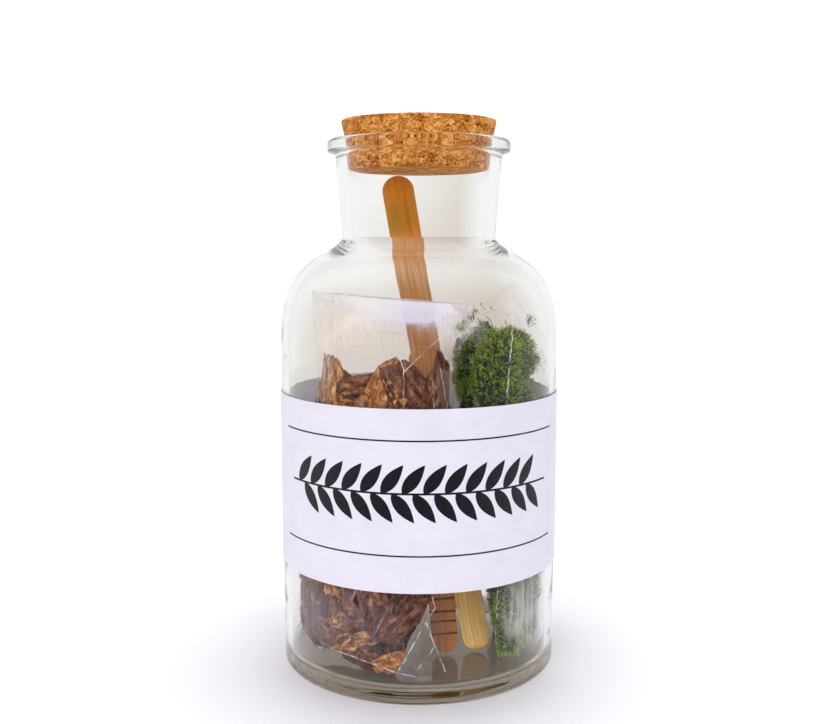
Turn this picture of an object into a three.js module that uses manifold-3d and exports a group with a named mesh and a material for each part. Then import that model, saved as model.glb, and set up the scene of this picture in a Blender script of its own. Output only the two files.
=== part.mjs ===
// A terrarium kit in a corked glass jar: a clear bag of bark chips, a clear bag of moss and two flat
// wooden sticks stand in the jar, and a paper label is wrapped round it.
// Millimetres, +Z up. The origin is the centre of the ring that the jar stands on, and the label's
// front faces -Y.
import * as THREE from "three";
import { mergeVertices } from "three/addons/utils/BufferGeometryUtils.js";
import Module from "manifold-3d";

const wasm = await Module();
wasm.setup();

// ---- Driving dimensions -------------------------------------------------------------------------

const CLEARANCE = 0.3; // between pieces that rest on each other

// Jar
const JAR_SIDES = 36;
const BODY_RADIUS = 51;
const WALL = 2.4;
const FLOOR_TOP = 5; // inside of the jar's bottom
const PUSH_UP = 1.6; // rise of the underside within the resting ring
const REST_RING_INNER = 41;
const REST_RING_OUTER = 48.4;
const HEEL_INSIDE = 4; // radius of the inside corner round the floor
const SHOULDER_START = 120; // height where the straight wall ends
const NECK_BOTTOM = 158.5;
const NECK_BOTTOM_RADIUS = 28.2;
const NECK_TOP_RADIUS = 30.5;
const LIP_BOTTOM = 188.7;
const LIP_TOP = 193.5;
const LIP_RADIUS = 33.4;
const LIP_EDGE = 1.8; // rounding of the lip's upper edge
const BORE_BOTTOM = 157.5;
const BORE_BOTTOM_RADIUS = 24.7;
const BORE_AT_CORK_RADIUS = 26.15; // level with the cork's lower end
const BORE_MOUTH_RADIUS = 27.1;
const BORE_MOUTH = 192.1; // height where the bore opens into the lip
const MOUTH_EDGE = 1.25; // rounding of the mouth

// Cork
const CORK_BOTTOM = 182.6;
const CORK_TOP = 200.3;
const CORK_BOTTOM_RADIUS = 25.8;
const CORK_MOUTH_RADIUS = 26.87; // where it leaves the lip
const CORK_TOP_RADIUS = 28.23;
const CORK_EDGE = 0.5; // worn chamfer

// Label
const LABEL_BOTTOM = 40;
const LABEL_TOP = 102.4;
const LABEL_GAP = 0.1;
const LABEL_THICKNESS = 0.3;

// Sticks: the foot is the middle of the lower end, the head the middle of the upper end
const STICK_THICKNESS = 2;
const LONG_STICK = {
  foot: new THREE.Vector3(22, -13, 5.6),
  head: new THREE.Vector3(-9, 14, 181.6),
  footWidth: 9.8,
  headWidth: 12.4,
};
const SHORT_STICK = {
  foot: new THREE.Vector3(10, -15.5, 5.6),
  head: new THREE.Vector3(1, -3, 118.6),
  footWidth: 9.6,
  headWidth: 10.4,
};

// Bags
const FILM = 0.8; // the clear film, thicker than life
const BAG_SIDES = 24;
const BARK_BAG_TOP = 137.3;
const BARK_BAG_CORNER = new THREE.Vector2(9, -33); // the corner that the bag stands on
const BARK_BELLY_START = 30; // below it the bark bag narrows to its corner
const BARK_LEAN_START = 40; // above it the bark bag leans away from the jar's left wall
const BARK_MOUTH_START = 112; // above it the bark bag widens and flattens to its mouth
const BARK_MOUTH_TILT = 0.07; // rise of the mouth for each millimetre to the left
const BARK_SEAM_SLOPE = 0.13; // rise of the bottom seam for each millimetre away from the corner
const MOSS_BAG_TOP = 142.6;
const MOSS_PEAK = new THREE.Vector2(34.2, -16); // the raised upper corner of the moss bag
const MOSS_PEAK_START = 122; // above it the moss bag closes to its peak
const MOSS_PEAK_RISE = 20;

// Bark
const BARK_CORE_TOP = 100;
const BARK_CORE_INSET = 6; // from the film to the core that the chips stand out of
const CHIP_ROWS = 6; // round the pile, from its foot to its top
const CHIPS_IN_ROW = 8;
const CHIPS_ON_TOP = 11;
const CHIP_LENGTH = [16, 30];
const CHIP_WIDTH = [9, 14];
const CHIP_DEPTH = [5, 8];
const CHIP_RAGGED = 0.13; // how far its corners stray, as a share of its size

// Moss
const MOSS_CORE_TOP = 117;
const MOSS_CORE_INSET = 7.5; // from the film to the core that the tufts stand out of
const TUFT_ROWS = 8; // round the clump, from its foot to its top
const TUFTS_IN_ROW = 6;
const TUFTS_ON_TOP = 6;
const TUFT_RADIUS = [6.5, 9.5];
const SPRIGS_ON_TUFT = 2;
const SPRIG_LENGTH = [3.5, 6];
const SPRIG_RADIUS = 1.5;

// ---- Helpers ------------------------------------------------------------------------------------

// Repeatable random draws between low and high.
function drawsFrom(seed) {
  let state = seed;
  return (low = 0, high = 1) => {
    state = (Math.imul(state, 1664525) + 1013904223) >>> 0;
    return low + (high - low) * (state / 2 ** 32);
  };
}

function mix(a, b, share) {
  return a + (b - a) * THREE.MathUtils.clamp(share, 0, 1);
}

function solidOf(geometry) {
  const bare = geometry.clone();
  bare.deleteAttribute("normal");
  bare.deleteAttribute("uv");
  const merged = mergeVertices(bare, 1e-4);
  const vertProperties = new Float32Array(merged.attributes.position.array);
  const triVerts = new Uint32Array(merged.index.array);
  return new wasm.Manifold(new wasm.Mesh({ numProp: 3, vertProperties, triVerts }));
}

function geometryOf(solid) {
  const mesh = solid.getMesh();
  const geometry = new THREE.BufferGeometry();
  geometry.setAttribute("position", new THREE.BufferAttribute(mesh.vertProperties, 3));
  geometry.setIndex(new THREE.BufferAttribute(mesh.triVerts, 1));
  geometry.computeVertexNormals();
  return geometry;
}

// The largest body of a solid, without loose scraps or sealed hollows.
function mainBody(solid) {
  return solid.decompose().sort((a, b) => b.volume() - a.volume())[0];
}

// Turns a profile of [radius, height] points round the Z axis.
function turned(profile, sides) {
  const points = profile.map(([radius, height]) => new THREE.Vector2(radius, height));
  return new THREE.LatheGeometry(points, sides).rotateX(Math.PI / 2);
}

// Points of a circular arc in a profile, from one angle to another in degrees.
function arc(radius, height, size, fromDegrees, toDegrees, steps) {
  return Array.from({ length: steps + 1 }, (_, i) => {
    const angle = THREE.MathUtils.degToRad(mix(fromDegrees, toDegrees, i / steps));
    return [radius + size * Math.cos(angle), height + size * Math.sin(angle)];
  });
}

function bezier(a, b, c, d, steps) {
  const curve = new THREE.CubicBezierCurve(...[a, b, c, d].map(([x, y]) => new THREE.Vector2(x, y)));
  return curve.getPoints(steps).map((p) => [p.x, p.y]);
}

// A closed skin from a first pole, through rings of equal length, to a last pole.
function ringSkin(firstPole, rings, lastPole) {
  const count = rings[0].length;
  const points = [firstPole, ...rings.flat(), lastPole];
  const faces = [];
  const at = (ring, i) => 1 + ring * count + (i % count);
  for (let i = 0; i < count; i++) {
    faces.push(0, at(0, i + 1), at(0, i));
    for (let ring = 0; ring + 1 < rings.length; ring++) {
      faces.push(at(ring, i), at(ring, i + 1), at(ring + 1, i + 1));
      faces.push(at(ring, i), at(ring + 1, i + 1), at(ring + 1, i));
    }
    faces.push(points.length - 1, at(rings.length - 1, i), at(rings.length - 1, i + 1));
  }
  const geometry = new THREE.BufferGeometry().setFromPoints(points);
  geometry.setIndex(faces);
  geometry.computeVertexNormals();
  return geometry;
}

const part = new THREE.Group();

function place(name, geometry, material) {
  const mesh = new THREE.Mesh(geometry, material);
  mesh.name = name;
  part.add(mesh);
  return mesh;
}

// ---- Jar ----------------------------------------------------------------------------------------

const glass = new THREE.MeshStandardMaterial({
  color: 0xf2f4f2,
  roughness: 0.05,
  metalness: 0,
  transparent: true,
  opacity: 0.3,
});

const outerShoulder = [
  ...bezier([BODY_RADIUS, SHOULDER_START], [51, 140], [45, 146.5], [37.66, 151.13], 6),
  ...bezier([37.66, 151.13], [33.06, 154.03], [28.9, 155.3], [NECK_BOTTOM_RADIUS, NECK_BOTTOM], 4).slice(1),
];
const innerShoulder = [
  ...bezier([BODY_RADIUS - WALL, 119.5], [48.6, 138.2], [43.3, 144.4], [36.2, 149], 6),
  ...bezier([36.2, 149], [31.8, 151.8], [25.6, 153.4], [BORE_BOTTOM_RADIUS, BORE_BOTTOM], 4).slice(1),
];
const insideWall = [
  [0, FLOOR_TOP],
  ...arc(BODY_RADIUS - WALL - HEEL_INSIDE, FLOOR_TOP + HEEL_INSIDE, HEEL_INSIDE, -90, 0, 3),
  ...innerShoulder,
  [BORE_AT_CORK_RADIUS, CORK_BOTTOM],
  [BORE_MOUTH_RADIUS, BORE_MOUTH],
];

function jar() {
  const heel = BODY_RADIUS - REST_RING_OUTER;
  const outside = [
    [0, PUSH_UP],
    [REST_RING_INNER - 7, PUSH_UP],
    [REST_RING_INNER, 0],
    ...arc(REST_RING_OUTER, heel, heel, -90, 0, 3),
    ...outerShoulder,
    [NECK_TOP_RADIUS, LIP_BOTTOM - 0.6],
    [LIP_RADIUS - 1.6, LIP_BOTTOM],
    ...arc(LIP_RADIUS - 1.2, LIP_BOTTOM + 1.2, 1.2, -60, 0, 2),
    ...arc(LIP_RADIUS - LIP_EDGE, LIP_TOP - LIP_EDGE, LIP_EDGE, 0, 90, 3),
    ...arc(BORE_MOUTH_RADIUS + MOUTH_EDGE, LIP_TOP - MOUTH_EDGE, MOUTH_EDGE, 90, 150, 2),
  ];
  return turned([...outside, ...[...insideWall].reverse()], JAR_SIDES);
}

place("jar_glass", jar(), glass);

// Radius of the jar's inside at a height.
function jarInside(height) {
  const above = insideWall.findIndex(([, z], i) => i > 0 && z > height);
  const [lowRadius, low] = insideWall[above - 1];
  const [highRadius, high] = insideWall[above];
  return mix(lowRadius, highRadius, (height - low) / (high - low));
}

// ---- Cork and label -----------------------------------------------------------------------------

const cork = new THREE.MeshStandardMaterial({ color: 0xb9752f, roughness: 0.85, metalness: 0 });
const paper = new THREE.MeshStandardMaterial({ color: 0xe6e4f2, roughness: 0.6, metalness: 0 });

place(
  "cork_stopper",
  turned(
    [
      [0, CORK_BOTTOM],
      [CORK_BOTTOM_RADIUS - CORK_EDGE, CORK_BOTTOM],
      [CORK_BOTTOM_RADIUS, CORK_BOTTOM + CORK_EDGE],
      [CORK_MOUTH_RADIUS, LIP_TOP],
      [CORK_TOP_RADIUS, CORK_TOP - CORK_EDGE],
      [CORK_TOP_RADIUS - CORK_EDGE, CORK_TOP],
      [0, CORK_TOP],
    ],
    JAR_SIDES,
  ),
  cork,
);

const labelInside = BODY_RADIUS + LABEL_GAP;
const labelOutside = labelInside + LABEL_THICKNESS;
place(
  "paper_label",
  turned(
    [
      [labelInside, LABEL_BOTTOM],
      [labelOutside, LABEL_BOTTOM],
      [labelOutside, LABEL_TOP],
      [labelInside, LABEL_TOP],
      [labelInside, LABEL_BOTTOM],
    ],
    JAR_SIDES,
  ),
  paper,
);

// ---- Sticks -------------------------------------------------------------------------------------

const stickWood = new THREE.MeshStandardMaterial({ color: 0xdca860, roughness: 0.6, metalness: 0 });

// A flat stick with round ends, its broad face turned to the front.
function stick({ foot, head, footWidth, headWidth }) {
  const length = foot.distanceTo(head);
  const outline = new THREE.Shape();
  outline.absarc(0, footWidth / 2, footWidth / 2, Math.PI, 2 * Math.PI, false);
  outline.absarc(0, length - headWidth / 2, headWidth / 2, 0, Math.PI, false);
  const geometry = new THREE.ExtrudeGeometry(outline, {
    depth: STICK_THICKNESS,
    bevelEnabled: false,
    curveSegments: 8,
  });
  geometry.translate(0, 0, -STICK_THICKNESS / 2);
  const along = head.clone().sub(foot).normalize();
  const across = new THREE.Vector3().crossVectors(along, new THREE.Vector3(0, -1, 0)).normalize();
  const facing = new THREE.Vector3().crossVectors(across, along);
  geometry.applyMatrix4(new THREE.Matrix4().makeBasis(across, along, facing).setPosition(foot));
  return geometry;
}

place("stick_long", stick(LONG_STICK), stickWood);
place("stick_short", stick(SHORT_STICK), stickWood);

// ---- Bag shapes ---------------------------------------------------------------------------------

// How far it is from a centre, along an angle, to the nearest of the walls, with the corners between
// walls rounded. A wall is [angle of its normal in degrees, distance of the wall from the Z axis].
function reach(centre, angle, circle, walls) {
  const direction = new THREE.Vector2(Math.cos(angle), Math.sin(angle));
  const along = centre.dot(direction);
  const lengths = [Math.sqrt(along ** 2 + circle ** 2 - centre.lengthSq()) - along];
  for (const [degrees, distance] of walls) {
    const normalAngle = THREE.MathUtils.degToRad(degrees);
    const normal = new THREE.Vector2(Math.cos(normalAngle), Math.sin(normalAngle));
    const slope = normal.dot(direction);
    if (slope > 0.02) lengths.push((distance - normal.dot(centre)) / slope);
  }
  const sharpness = 9;
  return lengths.reduce((sum, length) => sum + length ** -sharpness, 0) ** (-1 / sharpness);
}

// The parting between the bags in the front of the jar: the angle of its normal and its distance.
const PARTING_ANGLE = 20.5;
function parting(z) {
  return mix(-3.2, -1.2, (z - 5) / 95) + 15 * THREE.MathUtils.clamp((z - 118) / 19.3, 0, 1);
}

// How far up a bag's closing stretch a height is, from 0 to 1.
function closing(z, start, rise) {
  return THREE.MathUtils.clamp((z - start) / rise, 0, 1);
}

// The bark bag: against the jar's front and left wall, flat at its bottom seam, leaning to the right
// under its mouth, which follows the front of the jar and is highest at the left.
const barkMouthRise = BARK_BAG_TOP - BARK_MOUTH_START;
const barkBag = {
  bottom: FLOOR_TOP + CLEARANCE,
  centre(z) {
    const belly = new THREE.Vector2(-19, -20);
    if (z < BARK_BELLY_START) {
      return new THREE.Vector2(-16, -30).lerp(belly, closing(z, FLOOR_TOP, BARK_BELLY_START - FLOOR_TOP));
    }
    return belly.lerp(new THREE.Vector2(-10, -37), closing(z, BARK_MOUTH_START, barkMouthRise));
  },
  walls(z) {
    const low = mix(-22, -11.4, (z - FLOOR_TOP) / 20);
    const back = z < BARK_BELLY_START ? low : mix(-11.4, -6.6, (z - BARK_BELLY_START) / 80);
    const mouth = closing(z, BARK_MOUTH_START, barkMouthRise);
    const left = mix(48, 35, (z - BARK_LEAN_START) / (BARK_MOUTH_START - BARK_LEAN_START));
    return [
      [PARTING_ANGLE, parting(z)],
      [60 + 10 * mouth, mix(back, -27.5, mouth)],
      [180, mix(left, 40, mouth)],
    ];
  },
  // The bottom seam rises from the corner that the bag stands on, and the mouth rises to the left.
  lift(x, y, z) {
    const away = Math.max(0, BARK_BAG_CORNER.distanceTo(new THREE.Vector2(x, y)) - 8);
    const seam = BARK_SEAM_SLOPE * away * (1 - closing(z, FLOOR_TOP, 60));
    return seam - BARK_MOUTH_TILT * x * closing(z, BARK_MOUTH_START, barkMouthRise);
  },
  // How far the left end of the mouth can lie above its level, where the jar is already narrower.
  leftRise(z) {
    return BARK_MOUTH_TILT * BODY_RADIUS * closing(z, BARK_MOUTH_START, barkMouthRise);
  },
  levels: [5.3, 12, 20, BARK_BELLY_START, 50, 75, 100, BARK_MOUTH_START, 122, 130, BARK_BAG_TOP],
};

// The moss bag: to the right of the long stick, closing above the moss to a raised corner.
const mossBag = {
  bottom: FLOOR_TOP + CLEARANCE,
  centre(z) {
    const middle = new THREE.Vector2(mix(36, 28, (z - FLOOR_TOP) / 95), -2);
    return middle.lerp(MOSS_PEAK, closing(z, MOSS_PEAK_START, MOSS_PEAK_RISE));
  },
  walls(z) {
    return [
      [180, -mix(28.4, 12.6, (z - 5) / 100)],
      [180 + PARTING_ANGLE, -parting(z) - 4 * CLEARANCE],
    ];
  },
  shrink(z) {
    return 1 - 0.92 * closing(z, MOSS_PEAK_START, MOSS_PEAK_RISE);
  },
  levels: [5.3, 12, 24, 45, 75, 100, 114, MOSS_PEAK_START, 128, 136, MOSS_BAG_TOP],
};

// A bag's or its filling's outline at a height, held in from the film's outside by an inset.
function bagRing(bag, z, inset) {
  const centre = bag.centre(z);
  const circle = jarInside(z + (bag.leftRise ? bag.leftRise(z) : 0)) - 2 * CLEARANCE;
  return Array.from({ length: BAG_SIDES }, (_, i) => {
    const angle = (2 * Math.PI * i) / BAG_SIDES;
    const size = bag.shrink ? bag.shrink(z) : 1;
    const radius = Math.max(0.4, reach(centre, angle, circle, bag.walls(z)) * size - inset);
    const x = centre.x + radius * Math.cos(angle);
    const y = centre.y + radius * Math.sin(angle);
    const lift = bag.lift ? bag.lift(x, y, z) : 0;
    return new THREE.Vector3(x, y, z + lift);
  });
}

function middleOf(ring) {
  const sum = ring.reduce((total, point) => total.add(point), new THREE.Vector3());
  return sum.divideScalar(ring.length);
}

// The film: up the outside, over the mouth and down the inside.
function bagShell(bag) {
  const outside = bag.levels.map((z) => bagRing(bag, z, 0));
  const inside = bag.levels.map((z, i) => {
    const ring = bagRing(bag, z, FILM);
    const rise = i === 0 ? FILM : 0;
    return ring.map((point) => point.clone().setZ(point.z + rise));
  });
  inside.reverse();
  return ringSkin(middleOf(outside[0]), [...outside, ...inside], middleOf(inside.at(-1)));
}

const clearFilm = {
  color: 0xdfe3ea,
  roughness: 0.15,
  metalness: 0,
  transparent: true,
  opacity: 0.25,
};
place("bark_bag", bagShell(barkBag), new THREE.MeshStandardMaterial(clearFilm));
place("moss_bag", bagShell(mossBag), new THREE.MeshStandardMaterial(clearFilm));

// ---- Fillings -----------------------------------------------------------------------------------

// The core of a bag's filling: the bag's own form, held in from the film.
function coreRings(bag, levels, inset) {
  return levels.map((z, i) => {
    const atEnd = i === 0 || i === levels.length - 1;
    return bagRing(bag, z, atEnd ? inset * 1.5 : inset);
  });
}

// Cuts a filling to the room in its bag, a little clear of the film.
function heldIn(bag, filling) {
  const inset = FILM + CLEARANCE;
  const rings = bag.levels.map((z) => bagRing(bag, z, inset));
  rings[0].forEach((point) => point.setZ(point.z + inset));
  let held = filling.intersect(solidOf(ringSkin(middleOf(rings[0]), rings, middleOf(rings.at(-1)))));
  const shell = solidOf(bagShell(bag));
  for (const shift of [[1, 0, 0], [-1, 0, 0], [0, 1, 0], [0, -1, 0]]) {
    held = held.subtract(shell.translate(shift.map((way) => way * CLEARANCE)));
  }
  return mainBody(held);
}

// The point at a share of the way round a ring, measured along it.
function alongRing(ring, share) {
  const sides = ring.map((point, i) => point.distanceTo(ring[(i + 1) % ring.length]));
  let left = share * sides.reduce((sum, side) => sum + side, 0);
  let i = 0;
  while (i < ring.length - 1 && left > sides[i]) left -= sides[i++];
  return ring[i].clone().lerp(ring[(i + 1) % ring.length], Math.min(1, left / sides[i]));
}

// A spot on a core: up and around run from 0 to 1, from its foot to its top and once round it.
function spotOnSide(rings, up, around) {
  const level = Math.min(rings.length - 2, Math.floor(up * (rings.length - 1)));
  const share = up * (rings.length - 1) - level;
  const low = alongRing(rings[level], around);
  const point = low.lerp(alongRing(rings[level + 1], around), share);
  const middle = middleOf(rings[level]).lerp(middleOf(rings[level + 1]), share);
  const outward = point.clone().sub(middle).setZ(0).normalize();
  return { point, middle, outward };
}

function spotOnTop(rings, around, out) {
  const { point, middle, outward } = spotOnSide(rings, 1, around);
  return { point: middle.lerp(point, Math.sqrt(out)), outward };
}

// ---- Bark ---------------------------------------------------------------------------------------

const bark = new THREE.MeshStandardMaterial({ color: 0x74402a, roughness: 0.9, metalness: 0 });

// A split, ragged slab about the origin: its long way is X, its width Y, its depth Z.
function chip(draw) {
  const size = new THREE.Vector3(draw(...CHIP_LENGTH), draw(...CHIP_WIDTH), draw(...CHIP_DEPTH));
  const box = new THREE.BoxGeometry(1, 1, 1, 2, 1, 1);
  box.deleteAttribute("normal");
  box.deleteAttribute("uv");
  const slab = mergeVertices(box);
  const at = slab.attributes.position;
  const bow = draw(-0.2, 0.2);
  for (let i = 0; i < at.count; i++) {
    const point = new THREE.Vector3().fromBufferAttribute(at, i);
    const atEnd = point.x !== 0;
    const taper = atEnd ? draw(0.45, 0.95) : 1;
    const stray = new THREE.Vector3(draw(-1, 1), draw(-1, 1), draw(-1, 1)).multiplyScalar(CHIP_RAGGED);
    point.multiply(new THREE.Vector3(1, taper, mix(1, taper, 0.6))).add(stray);
    point.z += atEnd ? -bow : bow;
    at.setXYZ(i, ...point.multiply(size).toArray());
  }
  return slab;
}

// Chips lie against the film all round and on top of each other, and the bag holds them in.
function barkPile() {
  const draw = drawsFrom(20260);
  const levels = [10, 22, 40, 60, 80, BARK_CORE_TOP];
  const rings = coreRings(barkBag, levels, FILM + BARK_CORE_INSET);
  let pile = solidOf(ringSkin(middleOf(rings[0]), rings, middleOf(rings.at(-1))));
  const lay = ({ point, outward }, tip) => {
    const lean = new THREE.Vector3(draw(-tip, tip), draw(-tip, tip), draw(-tip, tip));
    const facing = outward.clone().add(lean).normalize();
    const turn = new THREE.Quaternion().setFromUnitVectors(new THREE.Vector3(0, 0, 1), facing);
    const slab = chip(draw).rotateZ(draw(0, 2 * Math.PI)).applyQuaternion(turn);
    pile = pile.add(solidOf(slab.translate(...point.toArray())));
  };
  for (let row = 0; row < CHIP_ROWS; row++) {
    for (let i = 0; i < CHIPS_IN_ROW; i++) {
      const up = (row + draw()) / CHIP_ROWS;
      const around = (i + draw()) / CHIPS_IN_ROW;
      lay(spotOnSide(rings, up, around), 0.45);
    }
  }
  for (let i = 0; i < CHIPS_ON_TOP; i++) {
    lay(spotOnTop(rings, (i + draw()) / CHIPS_ON_TOP, draw()), 1.2);
  }
  return geometryOf(heldIn(barkBag, pile));
}

place("bark_pile", barkPile(), bark);

// ---- Moss ---------------------------------------------------------------------------------------

const mossGreen = new THREE.MeshStandardMaterial({ color: 0x4f7a22, roughness: 0.95, metalness: 0 });

// One three-sided leafy tip that grows from a root along a direction.
function sprig(root, direction, length, spin) {
  const cone = new THREE.ConeGeometry(SPRIG_RADIUS, length, 3);
  cone.translate(0, length / 2, 0).rotateY(spin);
  const turn = new THREE.Quaternion().setFromUnitVectors(new THREE.Vector3(0, 1, 0), direction);
  return solidOf(cone.applyQuaternion(turn).translate(...root.toArray()));
}

// A low cushion about a spot, with sprigs that stand out of it.
function tuft({ point, outward }, draw) {
  const radius = draw(...TUFT_RADIUS);
  const cushion = new THREE.IcosahedronGeometry(radius, 0);
  cushion.rotateX(draw(0, Math.PI)).rotateY(draw(0, Math.PI)).scale(1, 1, draw(0.75, 1.1));
  let solid = solidOf(cushion.translate(...point.toArray()));
  for (let i = 0; i < SPRIGS_ON_TUFT; i++) {
    const stray = new THREE.Vector3(draw(-0.8, 0.8), draw(-0.8, 0.8), draw(-0.4, 1));
    const direction = outward.clone().add(stray).normalize();
    const root = point.clone().addScaledVector(direction, radius * 0.6);
    solid = solid.add(sprig(root, direction, draw(...SPRIG_LENGTH), draw(0, 2)));
  }
  return solid;
}

// Tufts grow all round a core and on top of it, and the bag holds them in.
function mossClump() {
  const draw = drawsFrom(711);
  const levels = [10, 24, 42, 62, 82, 100, MOSS_CORE_TOP];
  const rings = coreRings(mossBag, levels, FILM + MOSS_CORE_INSET);
  let clump = solidOf(ringSkin(middleOf(rings[0]), rings, middleOf(rings.at(-1))));
  for (let row = 0; row < TUFT_ROWS; row++) {
    for (let i = 0; i < TUFTS_IN_ROW; i++) {
      const up = (row + draw()) / TUFT_ROWS;
      clump = clump.add(tuft(spotOnSide(rings, up, (i + draw()) / TUFTS_IN_ROW), draw));
    }
  }
  for (let i = 0; i < TUFTS_ON_TOP; i++) {
    const { point } = spotOnTop(rings, (i + draw()) / TUFTS_ON_TOP, draw());
    clump = clump.add(tuft({ point, outward: new THREE.Vector3(0, 0, 1.5) }, draw));
  }
  return geometryOf(heldIn(mossBag, clump));
}

place("moss_clump", mossClump(), mossGreen);

export default part;
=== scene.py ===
# %% [markdown]
# # A corked jar with the makings of a terrarium
# A clear apothecary jar holds a bag of bark chips, a bag of moss and two flat wooden sticks. The solids
# that were packed already say where every piece is and how large it is. This notebook loads them as a
# fixed frame, and puts a finer piece with a real finish in the place of each one.

import math
import random

import bmesh
import bpy
from mathutils import Matrix, Vector, geometry, noise
from mathutils.bvhtree import BVHTree


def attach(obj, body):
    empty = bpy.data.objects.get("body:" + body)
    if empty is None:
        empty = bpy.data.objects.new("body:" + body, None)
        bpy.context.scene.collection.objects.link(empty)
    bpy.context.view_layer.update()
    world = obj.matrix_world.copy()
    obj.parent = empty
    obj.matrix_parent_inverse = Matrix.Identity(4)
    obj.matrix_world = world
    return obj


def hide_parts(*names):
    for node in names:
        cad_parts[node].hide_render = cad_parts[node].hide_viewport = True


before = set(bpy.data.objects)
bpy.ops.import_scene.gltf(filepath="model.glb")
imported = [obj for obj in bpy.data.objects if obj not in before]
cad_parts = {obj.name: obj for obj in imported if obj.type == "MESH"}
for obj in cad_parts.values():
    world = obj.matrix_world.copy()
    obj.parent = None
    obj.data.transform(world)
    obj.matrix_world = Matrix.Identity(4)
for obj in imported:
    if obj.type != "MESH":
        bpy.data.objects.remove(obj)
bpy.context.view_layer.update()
scene = bpy.context.scene
MM = 0.001

# %% [markdown]
# ## The camera
# The camera stands about 0.39 m in front of the jar's axis, at the height of its shoulder, and looks
# slightly down. A lens of about 46 mm gives the mild perspective that bends the label's edges
# into curves. `ray_through` gives the line of sight through a pixel, which later places the creases of
# the bags on the film itself.

# %% Camera
IMAGE_WIDTH, IMAGE_HEIGHT = 828, 724
SENSOR_WIDTH = 36.0
LENS = 45.96
CAMERA_PLACE = Vector((-1.79, -392.79, 158.45)) * MM
CAMERA_DOWN = 0.1178  # radians below the horizon

camera_data = bpy.data.cameras.new("camera")
camera_data.lens = LENS
camera_data.sensor_width = SENSOR_WIDTH
camera_data.clip_start = 0.01
camera = bpy.data.objects.new("camera", camera_data)
camera.location = CAMERA_PLACE
camera.rotation_euler = (math.pi / 2 - CAMERA_DOWN, 0, 0)
scene.collection.objects.link(camera)
scene.camera = camera


def ray_through(pixel):
    """The direction from the camera through a pixel of the picture."""
    across = (pixel[0] - IMAGE_WIDTH / 2) / IMAGE_WIDTH * SENSOR_WIDTH
    up = (IMAGE_HEIGHT / 2 - pixel[1]) / IMAGE_WIDTH * SENSOR_WIDTH
    return (camera.rotation_euler.to_matrix() @ Vector((across, up, -LENS))).normalized()


# %% [markdown]
# ## Helpers for meshes
# Every piece is a bmesh that becomes one object at the origin, with its place in its mesh. `turned` is
# the potter's wheel of this notebook: it takes a profile and spins it round the Z axis.

# %% Mesh helpers
ROUND_STEPS = 180  # faces round each turned piece


def chain(bm, points, closed=False):
    """A row of vertices joined by edges."""
    verts = [bm.verts.new(point) for point in points]
    edges = [bm.edges.new(pair) for pair in zip(verts, verts[1:])]
    if closed:
        edges.append(bm.edges.new((verts[-1], verts[0])))
    return verts, edges


def turned(profile, closed=False):
    """A solid from a profile of (radius, height) in mm that ends on the axis or closes on itself."""
    bm = bmesh.new()
    verts, edges = chain(bm, [Vector((radius, 0, height)) * MM for radius, height in profile], closed)
    bmesh.ops.spin(
        bm,
        geom=verts + edges,
        cent=(0, 0, 0),
        axis=(0, 0, 1),
        angle=2 * math.pi,
        steps=ROUND_STEPS,
        use_merge=True,
    )
    bmesh.ops.remove_doubles(bm, verts=bm.verts, dist=0.001 * MM)
    bmesh.ops.recalc_face_normals(bm, faces=bm.faces)
    return bm


def arc(radius, height, size, start, end, steps):
    """Points of a round stretch in a profile, from one angle to another in degrees."""
    angles = [math.radians(start + (end - start) * i / steps) for i in range(steps + 1)]
    return [(radius + size * math.cos(a), height + size * math.sin(a)) for a in angles]


def bend(a, b, c, d, steps):
    """Points of a smooth stretch in a profile from a to d, pulled towards b and c."""
    points = geometry.interpolate_bezier(*[Vector((*p, 0)) for p in (a, b, c, d)], steps)
    return [(point.x, point.y) for point in points]


def finish_piece(name, bm, materials, replaces=(), crease_angle=None):
    """Makes the bmesh an object that rides on the body, with the materials it is given."""
    mesh = bpy.data.meshes.new(name)
    bm.to_mesh(mesh)
    bm.free()
    mesh.polygons.foreach_set("use_smooth", [True] * len(mesh.polygons))
    if crease_angle is not None:
        mesh.set_sharp_from_angle(angle=math.radians(crease_angle))
    for material in materials:
        mesh.materials.append(material)
    piece = bpy.data.objects.new(name, mesh)
    scene.collection.objects.link(piece)
    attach(piece, "root")
    if replaces:
        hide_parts(*replaces)
    triangles = sum(len(polygon.vertices) - 2 for polygon in mesh.polygons)
    print(f"{name}: {triangles} triangles")
    return piece


# %% [markdown]
# ## Helpers for materials
# A material here is a few nodes: coordinates, one or two patterns, and a Principled shader. `Nodes`
# shortens the writing of it. A pattern that several materials use is a node group, made once.

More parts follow.
